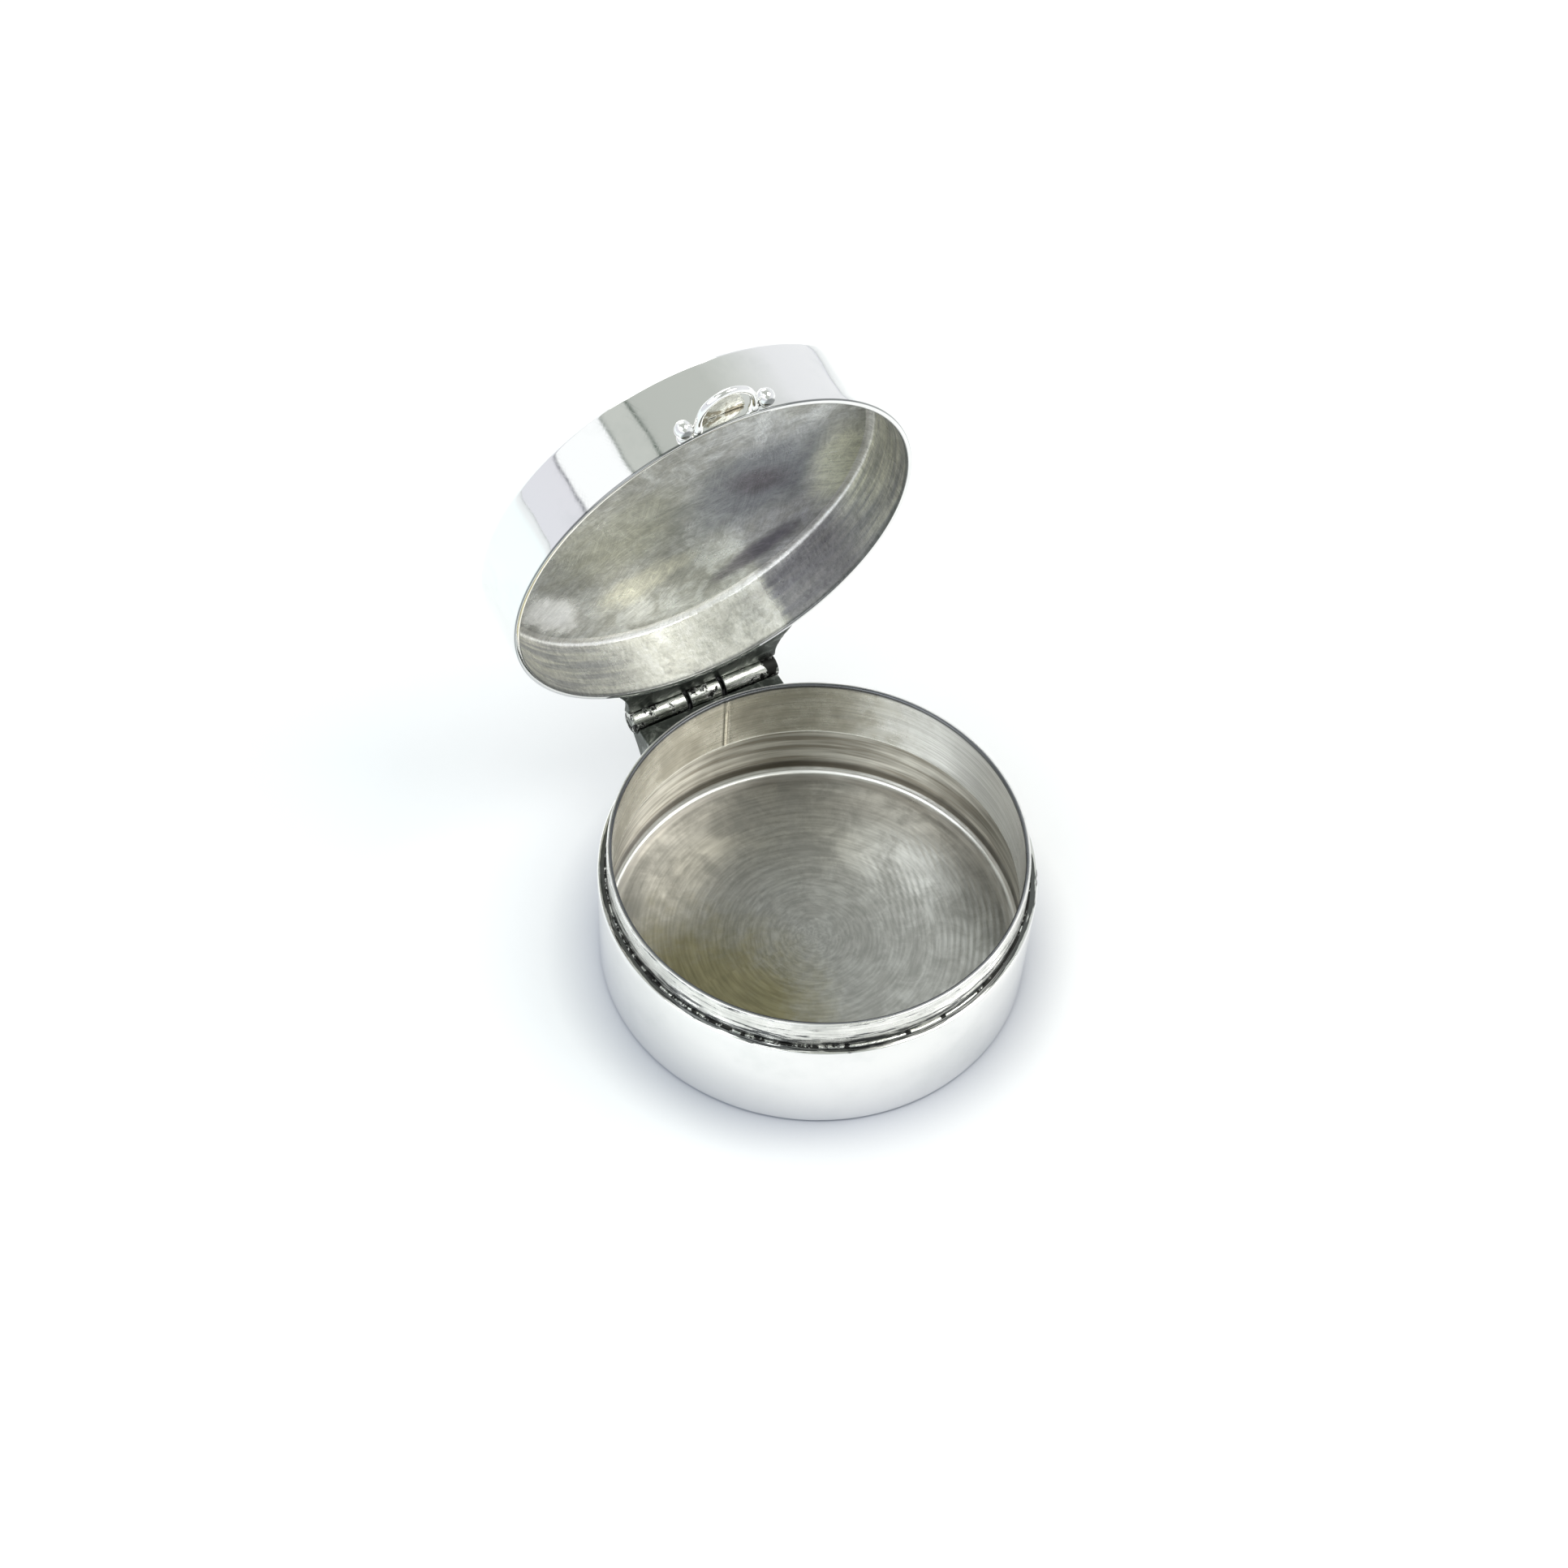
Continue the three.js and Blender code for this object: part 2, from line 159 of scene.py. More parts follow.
def lathe(outline, steps=ROUND_STEPS, closed=True):
    """Turns a (radius, height) outline about Z."""
    bm = bmesh.new()
    angles = [2 * math.pi * i / steps for i in range(steps)]
    rows = []
    for r, z in outline:
        if r < 1e-9:
            rows.append([bm.verts.new((0, 0, z))] * steps)
        else:
            rows.append([bm.verts.new((r * math.cos(a), r * math.sin(a), z)) for a in angles])
    for low, high in zip(rows, rows[1:] + (rows[:1] if closed else [])):
        for i in range(steps):
            j = (i + 1) % steps
            corners = []
            for vert in (low[i], low[j], high[j], high[i]):
                if vert not in corners:
                    corners.append(vert)
            if len(corners) > 2:
                bm.faces.new(corners)
    bmesh.ops.recalc_face_normals(bm, faces=bm.faces)
    return bm


def join_rings(bm, rings):
    """Faces between each ring of points and the next."""
    for first, second in zip(rings, rings[1:]):
        for k in range(len(first)):
            n = (k + 1) % len(first)
            bm.faces.new((first[k], first[n], second[n], second[k]))


def sweep_wire(path, radii, sides):
    """A round wire along the path, with one radius at each point."""
    bm = bmesh.new()
    rings = []
    for i, point in enumerate(path):
        ahead = path[min(i + 1, len(path) - 1)] - path[max(i - 1, 0)]
        across = ahead.cross(Vector((0, 0, 1))).normalized()
        up = across.cross(ahead).normalized()
        ring = []
        for k in range(sides):
            angle = 2 * math.pi * k / sides
            ring.append(bm.verts.new(point + radii[i] * (math.cos(angle) * across + math.sin(angle) * up)))
        rings.append(ring)
    join_rings(bm, rings)
    bm.faces.new(rings[0])
    bm.faces.new(rings[-1])
    bmesh.ops.recalc_face_normals(bm, faces=bm.faces)
    return bm


def to_object(name, bm, materials, matrix=None):
    """Makes a smooth-shaded object of the mesh, moved by matrix if there is one."""
    if matrix is not None:
        bmesh.ops.transform(bm, matrix=matrix, verts=bm.verts)
    mesh = bpy.data.meshes.new(name)
    bm.to_mesh(mesh)
    bm.free()
    for polygon in mesh.polygons:
        polygon.use_smooth = True
    mesh.set_sharp_from_angle(angle=SHARP_ANGLE)
    piece = bpy.data.objects.new(name, mesh)
    bpy.context.scene.collection.objects.link(piece)
    for material in materials:
        mesh.materials.append(material)
    return piece


def softened_copy(node, name, voxel, smooth_rounds):
    """A copy of a CAD node with its edges worn round by a voxel remesh and smoothing."""
    mesh = frame["nodes"][node].data.copy()
    piece = bpy.data.objects.new(name, mesh)
    bpy.context.scene.collection.objects.link(piece)
    remesh = piece.modifiers.new("remesh", "REMESH")
    remesh.mode = "VOXEL"
    remesh.voxel_size = voxel
    smooth = piece.modifiers.new("smooth", "SMOOTH")
    smooth.factor = 0.5
    smooth.iterations = smooth_rounds
    graph = bpy.context.evaluated_depsgraph_get()
    worn = bpy.data.meshes.new_from_object(piece.evaluated_get(graph))
    piece.modifiers.clear()
    piece.data = worn
    worn.materials.clear()
    for polygon in worn.polygons:
        polygon.use_smooth = True
    return piece


def hand_made(bm, amount, grain):
    """Very small hollows in a turned wall, alike on both faces of the sheet."""
    for vert in bm.verts:
        x, y, z = vert.co
        radius = math.hypot(x, y)
        if radius > 1e-6:
            around = Vector((x / radius, y / radius, z / (9 * MM)))
            swell = noise.noise(around * grain) + 0.4 * noise.noise(around * grain * 2.7)
            inward = amount * (0.5 * swell - 0.7)
            share = min(1.0, radius / SHELL_RADIUS) ** 4
            vert.co.x += x / radius * inward * share
            vert.co.y += y / radius * inward * share


def settle(piece, body, slot, *nodes):
    """Puts a finished piece on its body and hides the CAD nodes it replaces."""
    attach(piece, body)
    if nodes:
        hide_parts(*nodes)
    return piece


# ---- Material helpers --------------------------------------------------------------------------

class Nodes:
    """Short calls for building one material's node tree."""

    def __init__(self, name):
        self.material = bpy.data.materials.new(name)
        self.material.use_nodes = True
        self.tree = self.material.node_tree
        self.tree.nodes.clear()
        self.output = self.tree.nodes.new("ShaderNodeOutputMaterial")
        self.shader = self.tree.nodes.new("ShaderNodeBsdfPrincipled")
        self.tree.links.new(self.shader.outputs[0], self.output.inputs[0])

    def put(self, socket, value):
        if isinstance(value, bpy.types.NodeSocket):
            self.tree.links.new(value, socket)
        elif value is not None:
            socket.default_value = value

    def math(self, operation, a, b=None, clamp=False):
        node = self.tree.nodes.new("ShaderNodeMath")
        node.operation = operation
        node.use_clamp = clamp
        self.put(node.inputs[0], a)
        self.put(node.inputs[1], b)
        return node.outputs[0]

    def ramp(self, value, low, high, to_low=0.0, to_high=1.0):
        """Smooth step of value between low and high."""
        node = self.tree.nodes.new("ShaderNodeMapRange")
        node.interpolation_type = "SMOOTHSTEP"
        for socket, number in zip(node.inputs[1:5], (low, high, to_low, to_high)):
            socket.default_value = number
        self.put(node.inputs[0], value)
        return node.outputs[0]

    def blend(self, share, a, b):
        """Plain number between a and b."""
        node = self.tree.nodes.new("ShaderNodeMix")
        self.put(node.inputs[0], share)
        self.put(node.inputs[2], a)
        self.put(node.inputs[3], b)
        return node.outputs[0]

    def mix(self, share, a, b):
        node = self.tree.nodes.new("ShaderNodeMix")
        node.data_type = "RGBA"
        self.put(node.inputs[0], share)
        self.put(node.inputs[6], a if isinstance(a, bpy.types.NodeSocket) else (*a, 1))
        self.put(node.inputs[7], b if isinstance(b, bpy.types.NodeSocket) else (*b, 1))
        return node.outputs[2]

    def shade(self, colour, amount):
        """Colour made lighter or darker by a factor."""
        node = self.tree.nodes.new("ShaderNodeVectorMath")
        node.operation = "SCALE"
        self.put(node.inputs[0], colour)
        self.put(node.inputs["Scale"], amount)
        return node.outputs[0]

    def position(self):
        return self.tree.nodes.new("ShaderNodeTexCoord").outputs["Object"]

    def moved(self, vector, location=(0, 0, 0), rotation=(0, 0, 0), scale=(1, 1, 1)):
        node = self.tree.nodes.new("ShaderNodeMapping")
        node.inputs["Location"].default_value = location
        node.inputs["Rotation"].default_value = rotation
        node.inputs["Scale"].default_value = scale
        self.put(node.inputs["Vector"], vector)
        return node.outputs[0]

    def noise(self, vector, size, detail=2.0, roughness=0.5, distortion=0.0):
        """Noise between 0 and 1 whose features are about size metres wide."""
        node = self.tree.nodes.new("ShaderNodeTexNoise")
        node.inputs["Scale"].default_value = 1 / size
        node.inputs["Detail"].default_value = detail
        node.inputs["Roughness"].default_value = roughness
        node.inputs["Distortion"].default_value = distortion
        self.put(node.inputs["Vector"], vector)
        return node.outputs["Fac"]

    def wavy(self, vector, size, amount):
        """The vector pushed about by noise, so that lines drawn in it wander."""
        node = self.tree.nodes.new("ShaderNodeTexNoise")
        node.inputs["Scale"].default_value = 1 / size
        self.put(node.inputs["Vector"], vector)
        push = self.tree.nodes.new("ShaderNodeVectorMath")
        push.operation = "MULTIPLY_ADD"
        self.put(push.inputs[0], node.outputs["Color"])
        push.inputs[1].default_value = (amount, amount, amount)
        self.put(push.inputs[2], vector)
        return push.outputs[0]

    def split(self, vector):
        node = self.tree.nodes.new("ShaderNodeSeparateXYZ")
        self.put(node.inputs[0], vector)
        return node.outputs[0], node.outputs[1], node.outputs[2]

    def join(self, x, y, z=0.0):
        node = self.tree.nodes.new("ShaderNodeCombineXYZ")
        for socket, value in zip(node.inputs, (x, y, z)):
            self.put(socket, value)
        return node.outputs[0]

    def radius(self, vector):
        """Distance of a point from the Z axis."""
        x, y, _ = self.split(vector)
        return self.math("SQRT", self.math("ADD", self.math("MULTIPLY", x, x), self.math("MULTIPLY", y, y)))

    def polar(self, vector, around):
        """Arc length at the radius around, and distance from the Z axis, as a vector."""
        x, y, z = self.split(vector)
        angle = self.math("ARCTAN2", y, x)
        return self.join(self.math("MULTIPLY", angle, around), self.radius(vector), z)

    def turned(self, vector, angle, scale):
        """The vector turned about Z by an angle, then scaled along its new axes."""
        return self.moved(self.moved(vector, rotation=(0, 0, angle)), scale=scale)

    def hairlines(self, vector, angle, length, gap, width):
        """Long thin scratches in the XY plane, 0 to 1, all running one way."""
        field = self.noise(self.turned(vector, angle, (gap / length, 1, 1)), gap, detail=1.0)
        away = self.math("ABSOLUTE", self.math("SUBTRACT", field, 0.5))
        return self.ramp(away, 0.0, width, 1.0, 0.0)

    def bump(self, height, distance, strength=1.0, below=None):
        node = self.tree.nodes.new("ShaderNodeBump")
        node.inputs["Strength"].default_value = strength
        node.inputs["Distance"].default_value = distance
        self.put(node.inputs["Height"], height)
        if below is not None:
            self.put(node.inputs["Normal"], below)
        return node.outputs[0]

    def finish(self, colour, roughness, normal, metallic=1.0):
        self.put(self.shader.inputs["Metallic"], metallic)
        self.put(self.shader.inputs["Base Color"], colour)
        self.put(self.shader.inputs["Roughness"], roughness)
        self.put(self.shader.inputs["Normal"], normal)
        return self.material


def closed_lid_space(n):
    """Object position turned back to where the closed lid would have it."""
    turn = Matrix.Rotation(OPEN_ANGLE, 4, "X")
    back = HINGE_POINT - turn @ HINGE_POINT
    return n.moved(n.position(), location=back, rotation=(OPEN_ANGLE, 0, 0))


# ---- Materials ---------------------------------------------------------------------------------

SCRATCH_TURNS = (0.12, -0.35, 1.1, 2.2)


def scratch_layers(n, where, length, gap, width):
    """Thin scratches in the XY plane of the given space, running in several directions."""
    total = None
    for turn in SCRATCH_TURNS:
        lines = n.hairlines(where, turn, length, gap, width)
        total = lines if total is None else n.math("MAXIMUM", total, lines)
    return total


def unrolled(n, where, flat):
    """Surface space: arc length and height on a wall, X and Y where flat is 1."""
    x, y, z = n.split(where)
    arc_length = n.math("MULTIPLY", n.math("ARCTAN2", y, x), SHELL_RADIUS)
    return n.join(n.blend(flat, arc_length, x), n.blend(flat, z, y))


def polished_silver(name, lid):
    """Mirror polish with slow swells, hairlines and grey bloom; painted shade along the lid's rim edges,
    and dark streaks on the base's shoulder that are tarnish with painted dark reflection.
    """
    n = Nodes(name)
    where = closed_lid_space(n) if lid else n.position()
    _, _, z = n.split(where)
    top = RIM_Z + LID_DEPTH
    flat = n.ramp(z, top - 0.05 * MM, top) if lid else n.ramp(z, 0.0, 0.05 * MM, 1.0, 0.0)
    sheet = unrolled(n, where, flat)
    grey = n.ramp(n.noise(where, 5 * MM, detail=4, roughness=0.6), 0.45, 0.75)
    colour = n.mix(grey, (0.93, 0.925, 0.91), (0.85, 0.855, 0.84))
    scratches = scratch_layers(n, sheet, 12 * MM, 0.4 * MM, 0.012)
    fine = n.noise(where, 0.25 * MM, detail=3)
    roughness = n.math("ADD", n.math("MULTIPLY", grey, 0.06), n.math("MULTIPLY", fine, 0.03))
    roughness = n.math("ADD", roughness, n.math("MULTIPLY", scratches, 0.04))
    roughness = n.math("ADD", roughness, 0.01)
    if lid:
        # Painted shade: thin dark lines along the edges of the lid's rim.
        middle = (SHELL_RADIUS + LID_BORE) / 2
        off_middle = n.math("ABSOLUTE", n.math("SUBTRACT", n.radius(where), middle))
        edges = n.ramp(off_middle, 0.09 * MM, 0.15 * MM)
        near_rim = n.ramp(z, RIM_Z + 0.1 * MM, RIM_Z + 0.2 * MM, 0.85, 0.0)
        colour = n.mix(n.math("MULTIPLY", edges, near_rim), colour, (0.12, 0.13, 0.13))
    else:
        # Dark streaks on the shoulder beside the collar: tarnish, with painted dark reflection.
        streaks = n.noise(n.moved(n.polar(where, WALL_MIDDLE), scale=(0.15, 1, 0)), 0.3 * MM, detail=5)
        inner = n.ramp(n.radius(where), SHELL_RADIUS - 0.3 * MM, SHELL_RADIUS - 0.12 * MM, 0.2, -0.1)
        ledge = n.ramp(z, SEAM_Z - 0.12 * MM, SEAM_Z - 0.02 * MM)
        dirt_and_dark_reflection = n.ramp(n.math("ADD", streaks, inner), 0.52, 0.6)
        dirt_and_dark_reflection = n.math("MULTIPLY", dirt_and_dark_reflection, n.math("MULTIPLY", ledge, 0.9))
        colour = n.mix(dirt_and_dark_reflection, colour, (0.07, 0.075, 0.075))
    swell = n.bump(n.noise(where, 3.2 * MM, detail=1.0), 0.05 * MM, 0.5)
    nicks = n.bump(scratches, 0.0005 * MM, 0.4, below=swell)
    return n.finish(colour, roughness, nicks)


def bloom(n, where, centre, reach, turn=0.0, ragged=0.35):
    """Soft ragged patch, 1 at its centre (x, y in mm) and 0 outside its reach in mm."""
    x, y = centre[0] * MM, centre[1] * MM
    near = n.moved(where, location=(-x, -y, 0))
    local = n.turned(near, turn, (1 / (reach[0] * MM), 1 / (reach[1] * MM), 0))
    rough_edge = n.math("SUBTRACT", n.noise(where, 1.6 * MM, detail=5, roughness=0.65), 0.5)
    away = n.math("ADD", n.radius(local), n.math("MULTIPLY", rough_edge, 2 * ragged))
    return n.ramp(away, 0.35, 1.1, 1.0, 0.0)


def rubbed_arcs(n, where, centre, size, length):
    """Fine strokes along arcs about a centre given in mm."""
    moved = n.moved(where, location=(-centre[0] * MM, -centre[1] * MM, 0))
    arcs = n.moved(n.polar(n.wavy(moved, 5 * MM, 1.6 * MM), 12 * MM), scale=(size / length, 1, 0.3))
    return n.noise(arcs, size, detail=4, roughness=0.7)


def lid_inside_silver():
    """Hand-rubbed satin: curved rubbing marks, olive tarnish, dark violet-grey patches of painted shade,
    painted light and reflection patches, and a painted highlight along the corner.
    """
    n = Nodes("silver_lid_inside")
    where = closed_lid_space(n)
    x, y, z = n.split(where)
    out = n.radius(where)
    around = n.math("ARCTAN2", y, x)
    disc = n.ramp(out, 13.9 * MM, 14.25 * MM, 1.0, 0.0)
    patches = n.noise(where, 2.4 * MM, detail=6, roughness=0.66, distortion=0.5)
    colour = n.mix(n.ramp(patches, 0.38, 0.62), (0.66, 0.67, 0.66), (0.47, 0.47, 0.44))
    olive = n.math("MULTIPLY", bloom(n, where, (-4, 2), (7, 5)), 0.6)
    colour = n.mix(olive, colour, (0.57, 0.57, 0.46))
    # Painted light: a cream patch brightened on the disc.
    cream = bloom(n, where, (-2.5, 8.5), (4.5, 2), 0.3, ragged=0.6)
    colour = n.mix(cream, colour, (0.74, 0.73, 0.64))
    # Painted shade: dark violet-grey patches over the right of the disc and lower down.
    cool = bloom(n, where, (6, 1.5), (8, 6), 0.3)
    colour = n.mix(cool, colour, (0.28, 0.29, 0.305))
    violet = bloom(n, where, (6, 1.5), (3.6, 1.7), -0.4)
    colour = n.mix(violet, colour, (0.18, 0.17, 0.185))
    low = bloom(n, where, (6.5, 10), (4.8, 1.4), 0.5)
    colour = n.mix(low, colour, (0.20, 0.19, 0.21))
    edge_olive = bloom(n, where, (12.5, 3), (3, 5.5), 0.0)
    colour = n.mix(edge_olive, colour, (0.86, 0.86, 0.72))
    # Painted reflection: the patch where the floor is mirrored is coloured near white.
    bright = n.math("MULTIPLY", bloom(n, where, (-9.5, 7.8), (4.2, 2.0), -0.9), disc)
    colour = n.mix(bright, colour, (0.97, 0.96, 0.93))

    along_wall = n.moved(n.polar(where, WALL_MIDDLE), scale=(0.07, 0, 1))
    bands = n.noise(along_wall, 0.55 * MM, detail=4, roughness=0.6)
    wall = n.mix(n.ramp(bands, 0.36, 0.64), (0.42, 0.42, 0.43), (0.78, 0.77, 0.70))
    # Painted light on the wall towards the hinge, and painted shade on the dusky band beside it.
    lit = n.math("MULTIPLY", n.ramp(around, 1.06, 1.12), n.ramp(around, 1.6, 2.3, 1.0, 0.0))
    glow = n.math("MULTIPLY", lit, n.ramp(patches, 0.4, 0.65, 1.0, 0.6))
    wall = n.mix(glow, wall, (1.0, 0.98, 0.87))
    dusky = n.math("MULTIPLY", n.ramp(around, 0.35, 0.7), n.ramp(around, 1.04, 1.08, 1.0, 0.0))
    wall = n.mix(n.math("MULTIPLY", dusky, 0.75), wall, (0.36, 0.35, 0.37))
    colour = n.mix(disc, wall, colour)

    # Painted highlight along the corner between disc and wall.
    corner = n.math("MULTIPLY", n.ramp(out, 13.95 * MM, 14.1 * MM), n.ramp(z, 13.1 * MM, 13.3 * MM))
    colour = n.mix(n.math("MULTIPLY", corner, 0.8), colour, (0.97, 0.96, 0.92))
    # Painted shade: a dark band on the inside just above the rim.
    rim = n.ramp(z, RIM_Z + 0.1 * MM, RIM_Z + 0.35 * MM, 1.0, 0.0)
    colour = n.mix(n.math("MULTIPLY", rim, 0.75), colour, (0.16, 0.17, 0.17))

    strokes = rubbed_arcs(n, where, (-14, 2), 0.16 * MM, 2.2 * MM)
    cross = rubbed_arcs(n, where, (6, 24), 0.2 * MM, 3 * MM)
    which = n.ramp(n.noise(where, 4 * MM, detail=3), 0.42, 0.58)
    strokes = n.blend(which, strokes, cross)
    marks = scratch_layers(n, where, 5 * MM, 0.5 * MM, 0.02)
    mottle = n.noise(where, 0.7 * MM, detail=6, roughness=0.7)
    shade = n.math("ADD", n.ramp(strokes, 0.3, 0.7, 0.82, 1.1), n.ramp(mottle, 0.3, 0.7, -0.14, 0.14))
    colour = n.shade(colour, n.math("ADD", shade, n.math("MULTIPLY", marks, 0.16)))
    roughness = n.math("ADD", n.ramp(patches, 0.3, 0.7, 0.2, 0.34), n.math("MULTIPLY", strokes, 0.12))
    # Painted light: the bright patch and the lit wall are made lighter still, smoother and less metallic.
    shiny = n.math("MAXIMUM", bright, n.math("MULTIPLY", n.math("SUBTRACT", 1.0, disc), glow))
    roughness = n.math("MULTIPLY", roughness, n.ramp(shiny, 0.0, 1.0, 1.0, 0.45))
    colour = n.shade(colour, n.ramp(shiny, 0.0, 1.0, 1.0, 1.12))
    first = n.bump(strokes, 0.02 * MM, 0.9)
    second = n.bump(marks, 0.006 * MM, 0.6, below=first)
    third = n.bump(n.noise(where, 1.6 * MM, detail=3), 0.05 * MM, 0.5, below=second)
    film = n.ramp(shiny, 0.0, 1.0, 1.0, 0.45)
    return n.finish(colour, roughness, third, metallic=film)


def base_inside_silver():
    """Dull grey-brown inside, with ripple marks on the floor, a dark band round its edge that is tarnish
    with painted shadow, a painted highlight ring below it and painted shadow under the collar.
    """
    n = Nodes("silver_base_inside")
    where = n.position()
    _, _, z = n.split(where)
    out = n.radius(where)
    patches = n.noise(where, 2.2 * MM, detail=6, roughness=0.65, distortion=0.4)
    bands = n.noise(n.moved(n.polar(where, WALL_MIDDLE), scale=(0.05, 0, 1)), 0.5 * MM, detail=4)
    wall = n.mix(n.ramp(bands, 0.36, 0.64), (0.30, 0.27, 0.22), (0.66, 0.63, 0.56))
    floor = n.mix(n.ramp(patches, 0.36, 0.64), (0.64, 0.64, 0.62), (0.46, 0.46, 0.44))
    floor = n.mix(bloom(n, where, (-9, -3), (9, 11)), floor, (0.36, 0.33, 0.20))
    colour = n.mix(n.ramp(z, FLOOR_Z + FLOOR_FILLET, FLOOR_Z + FLOOR_FILLET + 0.2 * MM), floor, wall)
    # Dark band low on the wall, above the floor's fillet: tarnish in the corner with painted shadow.
    line_low = n.ramp(z, FLOOR_Z + 0.35 * MM, FLOOR_Z + 0.6 * MM)
    line_high = n.ramp(z, FLOOR_Z + 1.0 * MM, FLOOR_Z + 1.6 * MM, 1.0, 0.0)
    shadow_and_tarnish_band = n.math("MULTIPLY", line_low, line_high)
    colour = n.mix(n.math("MULTIPLY", shadow_and_tarnish_band, 0.92), colour, (0.06, 0.05, 0.035))
    # Painted highlight: a bright ring on the fillet round the floor's edge.
    low_down = n.ramp(z, FLOOR_Z + 0.2 * MM, FLOOR_Z + 0.35 * MM, 1.0, 0.0)
    ring = n.math("MULTIPLY", n.ramp(out, 13.4 * MM, 13.8 * MM), low_down)
    colour = n.mix(n.math("MULTIPLY", ring, 0.85), colour, (0.95, 0.94, 0.9))
    # Painted shadow on the wall just below the collar's lower edge.
    under = n.ramp(z, COLLAR_LOW.z - 0.3 * MM, COLLAR_LOW.z)
    colour = n.mix(n.math("MULTIPLY", under, 0.85), colour, (0.08, 0.07, 0.05))

    chatter_from = n.moved(where, location=(7 * MM, -5 * MM, 0))
    rings = n.math("MULTIPLY", n.radius(chatter_from), 2 * math.pi / (0.46 * MM))
    wander = n.math("MULTIPLY", n.noise(where, 3 * MM, detail=2), 4.0)
    ripple = n.math("SINE", n.math("ADD", rings, wander))
    struck = n.math("ADD", n.math("MULTIPLY", bloom(n, where, (10, -2), (6, 9)), 0.85), 0.06)
    ripple = n.math("MULTIPLY", ripple, struck)
    strokes = n.noise(n.moved(n.polar(where, 12 * MM), scale=(0.06, 1, 1)), 0.2 * MM, detail=3)
    colour = n.shade(colour, n.ramp(strokes, 0.3, 0.7, 0.86, 1.1))
    roughness = n.math("ADD", n.ramp(patches, 0.3, 0.7, 0.24, 0.38), n.math("MULTIPLY", strokes, 0.1))
    first = n.bump(ripple, 0.01 * MM, 0.55)
    second = n.bump(strokes, 0.008 * MM, 0.7, below=first)
    third = n.bump(n.noise(where, 1.4 * MM, detail=3), 0.04 * MM, 0.6, below=second)
    return n.finish(colour, roughness, third)


